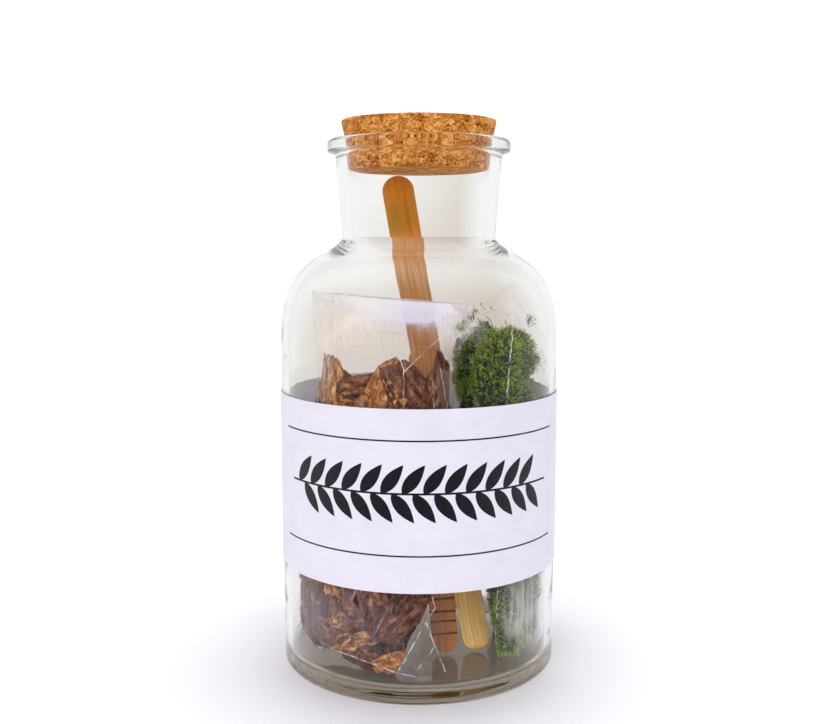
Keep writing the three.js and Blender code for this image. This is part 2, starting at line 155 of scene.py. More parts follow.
# %% Material helpers
class Nodes:
    """Adds and joins nodes in one tree."""

    def __init__(self, tree):
        self.tree = tree

    def add(self, kind, settings=None, **inputs):
        node = self.tree.nodes.new(kind)
        for name, value in (settings or {}).items():
            setattr(node, name, value)
        for name, value in inputs.items():
            self.feed(node.inputs[name.replace("_", " ")], value)
        return node

    def feed(self, socket, value):
        if isinstance(value, bpy.types.NodeSocket):
            self.tree.links.new(value, socket)
        else:
            socket.default_value = value

    def math(self, operation, a, b=0.0, clamp=False):
        node = self.add("ShaderNodeMath", {"operation": operation, "use_clamp": clamp})
        self.feed(node.inputs[0], a)
        self.feed(node.inputs[1], b)
        return node.outputs[0]

    def blend(self, factor, a, b, mode="MIX"):
        node = self.add("ShaderNodeMix", {"data_type": "RGBA", "blend_type": mode})
        self.feed(node.inputs[0], factor)
        self.feed(node.inputs[6], a)
        self.feed(node.inputs[7], b)
        return node.outputs[2]

    def ramp(self, value, stops):
        """Colours, or greys given as numbers, at places from 0 to 1."""
        node = self.add("ShaderNodeValToRGB", Fac=value)
        elements = node.color_ramp.elements
        while len(elements) < len(stops):
            elements.new(0.5)
        for element, (place, colour) in zip(elements, stops):
            element.position = place
            element.color = rgba(colour)
        return node.outputs[0]

    def at(self, coordinates, scale):
        """Coordinates stretched or squeezed along each axis."""
        return self.add("ShaderNodeMapping", Vector=coordinates, Scale=scale).outputs[0]

    def noise(self, coordinates, size, detail=4.0, roughness=0.55, distortion=0.0):
        """Soft noise whose grains are about size mm wide."""
        node = self.add(
            "ShaderNodeTexNoise",
            Vector=coordinates,
            Scale=1 / (size * MM),
            Detail=detail,
            Roughness=roughness,
            Distortion=distortion,
        )
        return node.outputs[0]

    def bump(self, height, depth):
        """A normal from a height of 0 to 1 that stands for depth mm."""
        return self.add("ShaderNodeBump", Height=height, Distance=depth * MM, Strength=1.0).outputs[0]

    def principled(self, **inputs):
        """The shader that every finish here has, with its constants on its own sockets."""
        return self.add("ShaderNodeBsdfPrincipled", **inputs).outputs[0]

    def mix_shaders(self, factor, a, b):
        node = self.add("ShaderNodeMixShader", Fac=factor)
        self.feed(node.inputs[1], a)
        self.feed(node.inputs[2], b)
        return node.outputs[0]


def rgba(colour):
    """A linear colour from an sRGB one of 0 to 255, or from one grey number of 0 to 1."""
    if isinstance(colour, (int, float)):
        return (colour, colour, colour, 1)
    parts = [c / 255 for c in colour]
    return (*[c / 12.92 if c < 0.04045 else ((c + 0.055) / 1.055) ** 2.4 for c in parts], 1)


def new_material(name):
    material = bpy.data.materials.new(name)
    material.use_nodes = True
    material.node_tree.nodes.clear()
    nodes = Nodes(material.node_tree)
    output = nodes.add("ShaderNodeOutputMaterial")
    return material, nodes, output.inputs["Surface"]


def new_group(name, inputs, outputs):
    """A shader node group; inputs are {name: default}, outputs are {name: socket type}."""
    tree = bpy.data.node_groups.new(name, "ShaderNodeTree")
    for label, value in inputs.items():
        kind = "NodeSocketFloat" if isinstance(value, float) else "NodeSocketVector"
        socket = tree.interface.new_socket(label, in_out="INPUT", socket_type=kind)
        if isinstance(value, float):
            socket.default_value = value
    for label, kind in outputs.items():
        tree.interface.new_socket(label, in_out="OUTPUT", socket_type=kind)
    nodes = Nodes(tree)
    return tree, nodes, nodes.add("NodeGroupInput").outputs, nodes.add("NodeGroupOutput").inputs


def placed(nodes, tree, **inputs):
    """A node group in a material, with its own values."""
    return nodes.add("ShaderNodeGroup", {"node_tree": tree}, **inputs).outputs


# %% [markdown]
# ## Patterns that are shared
# `mottle` is a patchy mask with fine speckles, for wood, bark and moss. `fibres` is a mask of fine lines
# along X, for grain in wood and bark, made by stretching noise along one way.

# %% Shared patterns
mottle, group, given, result = new_group(
    "mottle",
    {"Vector": None, "Size mm": 3.0, "Speckle": 0.3},
    {"Mask": "NodeSocketFloat"},
)
per_metre = group.math("DIVIDE", 1 / MM, given["Size mm"])
patches = group.add("ShaderNodeTexNoise", Vector=given["Vector"], Scale=per_metre, Detail=3.0)
fine_scale = group.math("MULTIPLY", per_metre, 7.0)
specks = group.add("ShaderNodeTexNoise", Vector=given["Vector"], Scale=fine_scale, Detail=2.0)
lean = group.math("SUBTRACT", specks.outputs[0], 0.5)
lean = group.math("MULTIPLY", lean, given["Speckle"])
group.feed(result["Mask"], group.math("ADD", patches.outputs[0], lean, clamp=True))

fibres, group, given, result = new_group(
    "fibres",
    {"Vector": None, "Width mm": 0.6, "Run": 0.05},
    {"Mask": "NodeSocketFloat", "Fine": "NodeSocketFloat"},
)
along = group.add("ShaderNodeCombineXYZ", X=given["Run"], Y=1.0, Z=1.0)
stretched = group.add("ShaderNodeVectorMath", {"operation": "MULTIPLY"})
group.feed(stretched.inputs[0], given["Vector"])
group.feed(stretched.inputs[1], along.outputs[0])
per_metre = group.math("DIVIDE", 1 / MM, given["Width mm"])
coarse = group.add("ShaderNodeTexNoise", Vector=stretched.outputs[0], Scale=per_metre, Detail=2.0)
finer_scale = group.math("MULTIPLY", per_metre, 4.0)
finer = group.add("ShaderNodeTexNoise", Vector=stretched.outputs[0], Scale=finer_scale, Detail=3.0)
group.feed(result["Mask"], coarse.outputs[0])
group.feed(result["Fine"], finer.outputs[0])

# %% [markdown]
# ## The jar
# The real jar is pressed glass, so its wall varies a little and bends what stands behind it. It is one
# spun wall with a true thickness: outside, over the lip, down the bore and across the floor. The shoulder
# was shaped last, so it ripples most. The thick floor has a dull olive-brown tint: partly the tint of
# deep glass, partly painted shade for the shadow that the filling casts on the table under the jar.
# Light that only lights the filling passes straight through, by a Transparent shader for shadow and
# diffuse rays, because sampled light can't find its way through a bending wall. A dark specular tint
# weakens the reflections that face the eye and leaves those at the edges, so that the filling keeps its
# depth.

# %% Glass
glass, nodes, surface = new_material("clear_glass")
place = nodes.add("ShaderNodeTexCoord").outputs["Object"]
up_jar = nodes.add("ShaderNodeSeparateXYZ", Vector=place).outputs["Z"]
share_up = nodes.math("MULTIPLY", up_jar, 1 / (200 * MM))
waves = nodes.noise(nodes.at(place, scale=(1, 1, 1.6)), 26, detail=1.0)
ripples = nodes.noise(nodes.at(place, scale=(0.35, 0.35, 2.4)), 9, detail=2.0)
uneven = nodes.ramp(share_up, [(0.62, 0.12), (0.67, 0.5), (0.7, 0.2), (0.725, 0.0)])
wall = nodes.math("ADD", waves, nodes.math("MULTIPLY", ripples, uneven))
# Painted shade: the floor's dark tint is partly deep glass and partly the shadow under the jar.
floor_tint_and_shade = nodes.ramp(share_up, [(0.028, (148, 138, 120)), (0.042, (253, 254, 253))])
shader = nodes.principled(
    Base_Color=floor_tint_and_shade,
    Roughness=0.0,
    IOR=1.49,
    Specular_Tint=(0.2, 0.2, 0.2, 1),
    Transmission_Weight=1.0,
    Normal=nodes.bump(wall, 0.25),
)
straight = nodes.add("ShaderNodeBsdfTransparent", Color=(0.985, 0.985, 0.985, 1)).outputs[0]
ray = nodes.add("ShaderNodeLightPath").outputs
for kind in ("Is Shadow Ray", "Is Diffuse Ray"):
    shader = nodes.mix_shaders(ray[kind], shader, straight)
nodes.feed(surface, shader)

# %% Jar
BODY_RADIUS = 51.0
WALL = 2.4
FLOOR_TOP = 5.0
LIP_TOP = 193.5
LIP_OUTER_ROUND = 1.8
LIP_INNER_ROUND = 1.25
NECK_RADIUS = 28.2
NECK_BOTTOM = 158.5
BORE_RADIUS = 24.7  # inside the foot of the neck
MOUTH_RADIUS = 26.15  # inside the neck, where the cork's lower face lies
CORK_BOTTOM = 182.6

outside = [
    (0, 1.6),
    (30, 1.6),
    *bend((34, 1.6), (37, 1.6), (38.5, 0.05), (41, 0), 6),
    *arc(48.4, 2.6, 2.6, -90, 0, 8),
    *bend((BODY_RADIUS, 120), (51, 140), (45, 146.5), (37.66, 151.13), 20),
    *bend((37.66, 151.13), (33.06, 154.03), (28.9, 155.3), (NECK_RADIUS, NECK_BOTTOM), 12)[1:],
    *bend((30.3, 186.4), (30.45, 187.6), (30.9, 188.4), (31.8, 188.7), 5),
    *arc(32.2, 189.9, 1.2, -70, 0, 5),
    *arc(31.6, LIP_TOP - LIP_OUTER_ROUND, LIP_OUTER_ROUND, 0, 90, 8),
    *arc(28.5, LIP_TOP - LIP_INNER_ROUND, LIP_INNER_ROUND, 90, 180, 6),
]
inside = [
    (MOUTH_RADIUS, CORK_BOTTOM),
    *reversed(bend((36.2, 149), (31.8, 151.8), (25.6, 153.4), (BORE_RADIUS, 157.5), 12)[1:]),
    *reversed(bend((BODY_RADIUS - WALL, 119.5), (48.6, 138.2), (43.3, 144.4), (36.2, 149), 20)),
    *arc(BODY_RADIUS - WALL - 4, FLOOR_TOP + 4, 4, 0, -90, 8),
    (20, FLOOR_TOP - 0.2),
    (0, FLOOR_TOP),
]
finish_piece("jar", turned(outside + inside), [glass], ["jar_glass"], crease_angle=50)

# %% [markdown]
# ## The cork
# The stopper is pressed from cork grains a few millimetres wide, from straw yellow to dark red-brown,
# with pits where grains tore out. A Voronoi pattern gives each grain its own tone, and the distance to
# its edge gives the crevices. The dark colour in the crevices and pits is painted shade for those
# hollows;
# they are colour and bump only, because they are too fine to model.

# %% Cork material
cork_grain, nodes, surface = new_material("pressed_cork")
place = nodes.add("ShaderNodeTexCoord").outputs["Object"]
flat = nodes.at(place, scale=(1, 1, 1.5))
wander = nodes.add("ShaderNodeTexNoise", Vector=flat, Scale=600.0, Detail=4.0)
shifted = nodes.add("ShaderNodeVectorMath", {"operation": "MULTIPLY_ADD"})
nodes.feed(shifted.inputs[0], wander.outputs[1])
nodes.feed(shifted.inputs[1], (0.0034, 0.0034, 0.0034))
nodes.feed(shifted.inputs[2], flat)
warped = shifted.outputs[0]
flakes = nodes.add("ShaderNodeTexVoronoi", Vector=warped, Scale=380.0)
edges = nodes.add("ShaderNodeTexVoronoi", {"feature": "DISTANCE_TO_EDGE"}, Vector=warped, Scale=380.0)
tone = nodes.add("ShaderNodeSeparateColor", Color=flakes.outputs["Color"]).outputs[0]
fine = nodes.noise(flat, 0.35, detail=4.0, roughness=0.7)
swirl = nodes.noise(flat, 1.1, detail=3.0, distortion=1.6)
grit = nodes.math("ADD", nodes.math("MULTIPLY", fine, 0.52), nodes.math("MULTIPLY", swirl, 0.4))
tone_fine = nodes.math("ADD", nodes.math("MULTIPLY", tone, 0.14), grit)
grain_colour = nodes.ramp(
    tone_fine,
    [
        (0.38, (96, 38, 6)),
        (0.46, (178, 92, 26)),
        (0.53, (224, 144, 60)),
        (0.62, (244, 184, 98)),
        (0.74, (254, 222, 152)),
    ],
)
broken = nodes.ramp(nodes.noise(flat, 3.2, detail=3.0), [(0.36, 0.0), (0.5, 1.0)])
# Painted shade: the crevices between grains and the pits are darkened below.
gap = nodes.ramp(edges.outputs["Distance"], [(0.0, 1.0), (0.08, 0.0)])
gap = nodes.math("MULTIPLY", gap, broken)
pit = nodes.ramp(nodes.noise(flat, 0.9, detail=5.0, roughness=0.66), [(0.35, 1.0), (0.42, 0.0)])
dark = nodes.math("MAXIMUM", nodes.math("MULTIPLY", gap, 0.35), pit)
cork_colour = nodes.blend(dark, grain_colour, rgba((82, 32, 4)))
height = nodes.math("SUBTRACT", nodes.math("ADD", tone_fine, 0.6), dark)
cork_shader = nodes.principled(
    Specular_IOR_Level=0.12,
    Base_Color=cork_colour,
    Roughness=0.8,
    Normal=nodes.bump(height, 0.3),
)
nodes.feed(surface, cork_shader)

# %% Cork
CORK_TOP = 200.3
CORK_BOTTOM_RADIUS = 25.8
CORK_LIP_RADIUS = 26.87  # at the top of the lip
CORK_TOP_RADIUS = 28.23
CORK_EDGE = 0.5

cork_profile = [
    (0, CORK_BOTTOM),
    (CORK_BOTTOM_RADIUS - CORK_EDGE, CORK_BOTTOM),
    (CORK_BOTTOM_RADIUS, CORK_BOTTOM + CORK_EDGE),
    (CORK_LIP_RADIUS, LIP_TOP),
    *arc(CORK_TOP_RADIUS - CORK_EDGE, CORK_TOP - CORK_EDGE, CORK_EDGE, 0, 90, 3),
    (0, CORK_TOP),
]
finish_piece("cork", turned(cork_profile), [cork_grain], ["cork_stopper"], crease_angle=50)

# %% [markdown]
# ## The label
# A strip of smooth white paper goes right round the jar, with one end lapped over the other at the
# back. Its front carries a plain band of leaves between two rules, printed in near-black. The print and
# the lap are thin meshes of their own: they are drawn flat, with the distance round the jar as X and the
# height as Z, and then rolled on.

# %% Label materials
paper, nodes, surface = new_material("label_paper")
place = nodes.add("ShaderNodeTexCoord").outputs["Object"]
cloudy = placed(nodes, mottle, Vector=place, Size_mm=9.0, Speckle=0.25)["Mask"]
paper_colour = nodes.ramp(cloudy, [(0.3, (228, 226, 238)), (0.7, (234, 232, 242))])
pulp = nodes.noise(place, 0.5, detail=3.0)
paper_shader = nodes.principled(
    Base_Color=paper_colour,
    Roughness=nodes.ramp(pulp, [(0.2, 0.42), (0.8, 0.56)]),
    Normal=nodes.bump(pulp, 0.02),
)
nodes.feed(surface, paper_shader)

ink, nodes, surface = new_material("label_ink")
place = nodes.add("ShaderNodeTexCoord").outputs["Object"]
worn = placed(nodes, mottle, Vector=place, Size_mm=1.5, Speckle=0.9)["Mask"]
ink_shader = nodes.principled(
    Base_Color=nodes.ramp(worn, [(0.25, (12, 10, 15)), (0.75, (26, 22, 30))]),
    Roughness=0.6,
)
nodes.feed(surface, ink_shader)

# %% Label
LABEL_BOTTOM = 40.0
LABEL_TOP = 102.4
LABEL_INSIDE = 51.1
LABEL_OUTSIDE = 51.4


def rolled(bm, radius):
    """Rolls a flat drawing in mm onto a cylinder: X runs round it from the middle of its front, Z up."""
    for vert in bm.verts:
        angle = vert.co.x / radius - math.pi / 2
        out = (radius + vert.co.y) * MM
        vert.co = (out * math.cos(angle), out * math.sin(angle), vert.co.z * MM)
    bmesh.ops.recalc_face_normals(bm, faces=bm.faces)


section = [
    (LABEL_INSIDE, LABEL_BOTTOM),
    (LABEL_OUTSIDE, LABEL_BOTTOM),
    (LABEL_OUTSIDE, LABEL_TOP),
    (LABEL_INSIDE, LABEL_TOP),
]
sleeve = turned(section, closed=True)
finish_piece("label", sleeve, [paper], ["paper_label"], crease_angle=40)

# %% Print on the label
PRINT_RADIUS = LABEL_OUTSIDE + 0.02
PRINT_HALF = 58.0  # how far the band runs to each side of the middle
RULES = (91.5, 52.5)
SPRAY_HEIGHT = 74.0
LEAF_LENGTH = 12.5
LEAF_WIDTH = 4.6
LEAF_STEP = 7.2
LEAF_ANGLE = 52
RULE_THICKNESS = 0.55
STALK_HALF = 0.35


def bar(bm, low, high):
    """A flat bar from one corner to the other, in steps that can be rolled."""
    grid = bmesh.ops.create_grid(bm, x_segments=60, y_segments=1, size=0.5)["verts"]
    for vert in grid:
        x = low[0] + (vert.co.x + 0.5) * (high[0] - low[0])
        z = low[1] + (vert.co.y + 0.5) * (high[1] - low[1])
        vert.co = (x, 0, z)


def leaf(bm, root, angle, length, width):
    """A pointed leaf blade from its root along an angle in degrees."""
    grid = bmesh.ops.create_grid(bm, x_segments=12, y_segments=4, size=0.5)["verts"]
    turn = Matrix.Rotation(math.radians(angle), 3, "Y").inverted()
    for vert in grid:
        t = vert.co.x + 0.5
        half = width * 0.5 * math.sin(math.pi * t**0.8) ** 0.9 if 0 < t < 1 else 0
        vert.co = turn @ Vector((t * length, 0, vert.co.y * 2 * half)) + Vector((root[0], 0, root[1]))


bm = bmesh.new()
for height in RULES:
    bar(bm, (-PRINT_HALF, height), (PRINT_HALF, height + RULE_THICKNESS))
bar(bm, (-PRINT_HALF + 5, SPRAY_HEIGHT - STALK_HALF), (PRINT_HALF - 5, SPRAY_HEIGHT + STALK_HALF))
count = int(2 * (PRINT_HALF - 12) / LEAF_STEP)
for i in range(count + 1):
    x = -PRINT_HALF + 9 + i * LEAF_STEP
    leaf(bm, (x, SPRAY_HEIGHT), LEAF_ANGLE, LEAF_LENGTH, LEAF_WIDTH)
    leaf(bm, (x + LEAF_STEP / 2, SPRAY_HEIGHT), -LEAF_ANGLE, LEAF_LENGTH, LEAF_WIDTH)
bmesh.ops.remove_doubles(bm, verts=bm.verts, dist=0.001)
rolled(bm, PRINT_RADIUS)
finish_piece("label_print", bm, [ink])

# %% Where the label's ends meet
LAP_WIDTH = 9.0
LAP_THICKNESS = 0.15
LAP_SHORT = 0.3  # how far it stops short of the label's edges
HALF_WAY_ROUND = math.pi * LABEL_OUTSIDE  # from the middle of the front to the middle of the back

bm = bmesh.new()
bar(bm, (HALF_WAY_ROUND, LABEL_BOTTOM + LAP_SHORT), (HALF_WAY_ROUND + LAP_WIDTH, LABEL_TOP - LAP_SHORT))
raised = bmesh.ops.extrude_face_region(bm, geom=bm.faces[:])["geom"]
outer = [item for item in raised if isinstance(item, bmesh.types.BMVert)]
bmesh.ops.translate(bm, verts=outer, vec=(0, LAP_THICKNESS, 0))
rolled(bm, LABEL_OUTSIDE + 0.01)
finish_piece("label_lap", bm, [paper], crease_angle=40)

# %% [markdown]
# ## The sticks
# Flat birch sticks with round ends. Each one starts as a circle whose upper half moves up, gets its
# thickness by an extrusion, and has its edges worn by a bevel. Its grain runs along it, so the flat
# outline is kept as a UV map in metres before the stick is stood in the jar. The same map colours the
# long stick along its length: golden at its foot; in the middle, where it stands behind the film and the
# shoulder, a brown, a greyish pink and a lavender that are painted shade and the painted haze of the
# film over it; then amber, with an olive stain near its head. The short stick takes the ramp's first,
# darker tone all along.

# %% Wood material
SCORES = (7.0, 11.8, 15.4, 20.0)  # dark lines scored across the short stick, up from its foot
SHORT_GRAIN_START = -400.0  # where the short stick lies in the grain, clear of the long one

birch, nodes, surface = new_material("birch")
grain_map = nodes.add("ShaderNodeUVMap", {"uv_map": "grain"}).outputs[0]
grain = placed(nodes, fibres, Vector=grain_map, Width_mm=0.9, Run=0.03)
broad = nodes.noise(nodes.at(grain_map, scale=(0.06, 1, 1)), 3.4, detail=2.0)
wood_colour = nodes.ramp(
    grain["Mask"], [(0.3, (212, 142, 62)), (0.5, (252, 206, 120)), (0.7, (255, 232, 164))]
)
broad_tone = nodes.ramp(broad, [(0.3, (234, 172, 86)), (0.7, (254, 228, 160))])
wood_colour = nodes.blend(0.35, wood_colour, broad_tone)
pores = nodes.ramp(grain["Fine"], [(0.3, 0.55), (0.42, 1.0)])
wood_colour = nodes.blend(0.4, wood_colour, pores, "MULTIPLY")
up_stick = nodes.add("ShaderNodeSeparateXYZ", Vector=grain_map).outputs["X"]
along_long = nodes.math("MULTIPLY", up_stick, 1 / (200 * MM))
# Painted shade and film haze: the middle of the long stick is darkened and tinted lavender.
tone_shade_and_haze = nodes.ramp(
    along_long,
    [
        (0.0, (190, 150, 118)),
        (0.01, (255, 250, 240)),
        (0.4, (255, 250, 240)),
        (0.55, (190, 152, 120)),
        (0.66, (194, 164, 158)),
        (0.74, (212, 198, 226)),
        (0.8, (212, 158, 72)),
    ],
)
wood_colour = nodes.blend(1.0, wood_colour, tone_shade_and_haze, "MULTIPLY")
stained = nodes.ramp(along_long, [(0.78, 0.0), (0.81, 0.6), (0.84, 0.6), (0.87, 0.0)])
stained = nodes.math("MULTIPLY", stained, nodes.ramp(broad, [(0.35, 0.2), (0.6, 1.0)]))
wood_colour = nodes.blend(stained, wood_colour, rgba((132, 112, 10)))
nearest_score = 1.0
for height in SCORES:
    away = nodes.math("ABSOLUTE", nodes.math("SUBTRACT", up_stick, (SHORT_GRAIN_START + height) * MM))
    nearest_score = nodes.math("MINIMUM", nearest_score, away)
scored = nodes.ramp(nodes.math("MULTIPLY", nearest_score, 1 / (2 * MM)), [(0.12, 0.22), (0.3, 1.0)])
wood_colour = nodes.blend(1.0, wood_colour, scored, "MULTIPLY")
wood_shader = nodes.principled(
    Specular_IOR_Level=0.25,
    Base_Color=wood_colour,
    Roughness=0.55,
    Normal=nodes.bump(nodes.math("ADD", grain["Mask"], grain["Fine"]), 0.06),
)
nodes.feed(surface, wood_shader)

# %% Sticks
STICK_THICKNESS = 2.0
STICK_EDGE = 0.35


def stick(name, foot, head, foot_width, head_width, grain_start):
    """A flat stick from the middle of its foot to the middle of its head, broad face to the front."""
    foot, head = Vector(foot), Vector(head)
    length = (head - foot).length
    bm = bmesh.new()
    outline = bmesh.ops.create_circle(bm, cap_ends=True, radius=0.5, segments=48)["verts"]
    for vert in outline:
        if vert.co.y > 1e-6:
            vert.co = vert.co * head_width + Vector((0, length - head_width / 2, 0))
        else:
            vert.co = vert.co * foot_width + Vector((0, foot_width / 2, 0))
    raised = bmesh.ops.extrude_face_region(bm, geom=bm.faces[:])["geom"]
    top = [item for item in raised if isinstance(item, bmesh.types.BMVert)]
    bmesh.ops.translate(bm, verts=top, vec=(0, 0, STICK_THICKNESS))
    bmesh.ops.translate(bm, verts=bm.verts, vec=(0, 0, -STICK_THICKNESS / 2))
    bmesh.ops.recalc_face_normals(bm, faces=bm.faces)
    rims = [edge for edge in bm.edges if edge.calc_face_angle(0) > math.radians(60)]
    bmesh.ops.bevel(
        bm, geom=rims, offset=STICK_EDGE, segments=2, profile=0.5, affect="EDGES", material=-1
    )
    uv = bm.loops.layers.uv.new("grain")
    for face in bm.faces:
        for loop in face.loops:
            co = loop.vert.co
            loop[uv].uv = ((grain_start + co.y) * MM, (co.x + co.z) * MM)
    along = (head - foot).normalized()
    across = along.cross(Vector((0, -1, 0))).normalized()
    stand = Matrix((across, along, across.cross(along))).transposed().to_4x4()
    stand.translation = foot
    bmesh.ops.transform(bm, matrix=Matrix.Scale(MM, 4) @ stand, verts=bm.verts)
    return finish_piece(name, bm, [birch], [name.replace("wood_", "")], crease_angle=35)


stick("wood_stick_long", (22, -13, 5.6), (-9, 14, 181.6), 9.8, 12.4, 0)
stick("wood_stick_short", (10, -15.5, 5.6), (1, -3, 118.6), 9.6, 10.4, SHORT_GRAIN_START)

# %% [markdown]
# ## The room in the bags
# Both fillings press against their film, so everything in a bag is measured from its own axis: a line up
# through the bag. `Room` casts a ray from that axis to the bag's solid, and so knows how far away the
# film is in any direction, without repeating the solid's formula. The mouth of the bark bag slants, so
# its room is measured with the mouth laid level, and the sheet is raised again afterwards.

# %% Room in a bag
class Room:
    """The inside of a packed bag, measured out from a line up through it."""

    STEP = 3 * MM  # how far up a search for the film goes at a time
    SEARCH = 40 * MM  # and how far from the bag's foot at the most

    def __init__(self, node, axis, tilt=0.0, tilt_from=0.0):
        self.axis = axis
        self.tilt, self.tilt_from = tilt, tilt_from * MM
        bm = bmesh.new()
        bm.from_mesh(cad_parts[node].data)
        bmesh.ops.remove_doubles(bm, verts=bm.verts, dist=0.001 * MM)
        for vert in bm.verts:
            vert.co.z -= self.lift(vert.co)
        self.tree = BVHTree.FromBMesh(bm)
        self.bottom = min(vert.co.z for vert in bm.verts)
        self.top = max(vert.co.z for vert in bm.verts)
        bm.free()

    def lift(self, point):
        """How far a slanting mouth raises a point, less and less down to tilt_from."""
        closing = (point.z - self.tilt_from) / (self.axis[-1][0] * MM - self.tilt_from)
        return -self.tilt * point.x * min(1, max(0, closing))

    def centre(self, z):
        """The axis at a height, between the points that it is given by (height, x, y in mm)."""
        height = z / MM
        for (low, *start), (high, *end) in zip(self.axis, self.axis[1:]):
            if height <= high:
                break
        share = min(1, max(0, (height - low) / (high - low)))
        x, y = (a + (b - a) * share for a, b in zip(start, end))
        return Vector((x * MM, y * MM, z))

    def reach(self, z, angle):
        """How far the inside of the film is from the axis."""
        start = self.centre(z)
        hit = self.tree.ray_cast(start, Vector((math.cos(angle), math.sin(angle), 0)))
        return hit[3] if hit[0] else None

    def seen(self, pixel):
        """Where the line of sight through a pixel meets the bag."""
        return self.tree.ray_cast(CAMERA_PLACE, ray_through(pixel))[0]

    def hold(self, point, clear):
        """Moves a point that lies past the film, or under its foot, back inside it."""
        z = min(max(point.z, self.bottom + self.STEP), self.top - 2 * MM)
        start = self.centre(z)
        away = Vector((point.x - start.x, point.y - start.y))
        angle = math.atan2(away.y, away.x)
        far = self.reach(z, angle)
        while not far and z < self.bottom + self.SEARCH:
            z += self.STEP
            far = self.reach(z, angle)
        if far and away.length > far - clear:
            away *= max(0.0, far - clear) / away.length
        held = Vector((start.x + away.x, start.y + away.y, min(point.z, self.top - clear)))
        foot = self.tree.ray_cast(Vector((held.x, held.y, z + 2 * self.STEP)), Vector((0, 0, -1)))[0]
        if foot:
            held.z = max(held.z, foot.z + clear)
        return held


BARK_MOUTH_TILT = 0.07  # rise of the bark bag's mouth for each millimetre to the left
BARK_MOUTH_START = 112
bark_axis = [(5, -16, -30), (30, -19, -20), (BARK_MOUTH_START, -19, -20), (137.3, -10, -37)]
bark_room = Room("bark_bag", bark_axis, BARK_MOUTH_TILT, BARK_MOUTH_START)
moss_room = Room("moss_bag", [(5, 36, -2), (100, 28, -2), (122, 28, -2), (142.6, 34.2, -16)])

# %% [markdown]
# ## Bark
# Bark chips are split slabs with layers like pages: reddish-brown inside, darker outside, and orange-tan
# where they are freshly torn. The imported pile, a little shrunk and roughened, is the crumb between the
# chips, so that no gap shows through. The chips lie on it, pressed against the film.

# %% Bark material
bark, nodes, surface = new_material("bark")
place = nodes.add("ShaderNodeTexCoord").outputs["Object"]
along_chip = nodes.add("ShaderNodeUVMap", {"uv_map": "grain"}).outputs[0]
tint = nodes.add("ShaderNodeAttribute", {"attribute_name": "tint"}).outputs["Fac"]
layers = placed(nodes, fibres, Vector=along_chip, Width_mm=1.3, Run=0.25)
patch = placed(nodes, mottle, Vector=place, Size_mm=3.2, Speckle=0.9)["Mask"]
deep = nodes.ramp(
    layers["Mask"],
    [(0.34, (52, 25, 14)), (0.47, (110, 62, 38)), (0.58, (144, 90, 60)), (0.7, (184, 129, 92))],
)
torn = nodes.ramp(
    layers["Mask"],
    [(0.34, (128, 66, 26)), (0.47, (202, 124, 60)), (0.58, (234, 168, 94)), (0.7, (252, 212, 150))],
)
exposed = nodes.math("ADD", nodes.math("MULTIPLY", tint, 0.75), nodes.math("MULTIPLY", patch, 0.55))
fresh = nodes.ramp(exposed, [(0.63, 0.0), (0.97, 0.95)])
bark_colour = nodes.blend(fresh, deep, torn)
cracks = nodes.ramp(layers["Fine"], [(0.36, 0.2), (0.5, 1.0)])
bark_colour = nodes.blend(0.75, bark_colour, cracks, "MULTIPLY")
relief = nodes.math("ADD", layers["Mask"], nodes.math("MULTIPLY", layers["Fine"], 0.4))
relief = nodes.math("ADD", relief, nodes.math("MULTIPLY", patch, 0.6))
bark_shader = nodes.principled(
    Specular_IOR_Level=0.12,
    Base_Color=bark_colour,
    Roughness=0.85,
    Normal=nodes.bump(relief, 1.6),
)
nodes.feed(surface, bark_shader)


# %% Bark chips
def shrunk_copy(node, inset, cuts, rough, seed):
    """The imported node's own form, drawn in by inset mm and roughened by rough mm."""
    bm = bmesh.new()
    bm.from_mesh(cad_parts[node].data)
    bmesh.ops.remove_doubles(bm, verts=bm.verts, dist=0.02 * MM)
    bmesh.ops.subdivide_edges(bm, edges=bm.edges, cuts=cuts, use_grid_fill=True, smooth=0.4)
    bm.normal_update()
    shift = Vector((seed, seed * 0.37, 0))
    moved = []
    for vert in bm.verts:
        grain = noise.fractal(vert.co / MM * 0.22 + shift, 0.9, 2.0, 3)
        moved.append(vert.co - vert.normal * (inset + rough * (0.5 - grain)) * MM)
    for vert, co in zip(bm.verts, moved):
        vert.co = co
    return bm


def chip(rng, length, width, depth):
    """A split slab about the origin in mm: long in X, flat in Z, layered and ragged."""
    bm = bmesh.new()
    bmesh.ops.create_cube(bm, size=1)
    bmesh.ops.subdivide_edges(bm, edges=bm.edges, cuts=7, use_grid_fill=True)
    seed = Vector((rng.uniform(0, 90), rng.uniform(0, 90), rng.uniform(0, 90)))
    bow = rng.uniform(-0.12, 0.12)
    skew = rng.uniform(-0.3, 0.3)
    for vert in bm.verts:
        p = vert.co.copy()
        end = abs(p.x) * 2
        p.y *= 1 - 0.5 * end**4 + 0.25 * noise.noise(seed + Vector((p.x * 3, 0, 0)))
        p.x += skew * p.y + 0.07 * noise.noise(seed + Vector((0, p.y * 5, p.z * 9)))
        step = math.floor((p.z + 0.5) * 4) / 4
        p.y += 0.14 * noise.noise(seed + Vector((p.x * 4, step * 7, 0)))
        p.z += bow * (end**2 - 0.4) + 0.1 * noise.fractal(seed + p * 4, 0.8, 2.0, 3)
        vert.co = Vector((p.x * length, p.y * width, p.z * depth))
    return bm


def gather(target, source, tint_value, tint_layer):
    """Adds one small bmesh to a large one, keeping its maps."""
    scrap = bpy.data.meshes.new("scrap")
    source.to_mesh(scrap)
    first = len(target.verts)
    target.from_mesh(scrap, face_normals=False, vertex_normals=False)
    bpy.data.meshes.remove(scrap)
    target.verts.ensure_lookup_table()
    for vert in target.verts[first:]:
        vert[tint_layer] = tint_value


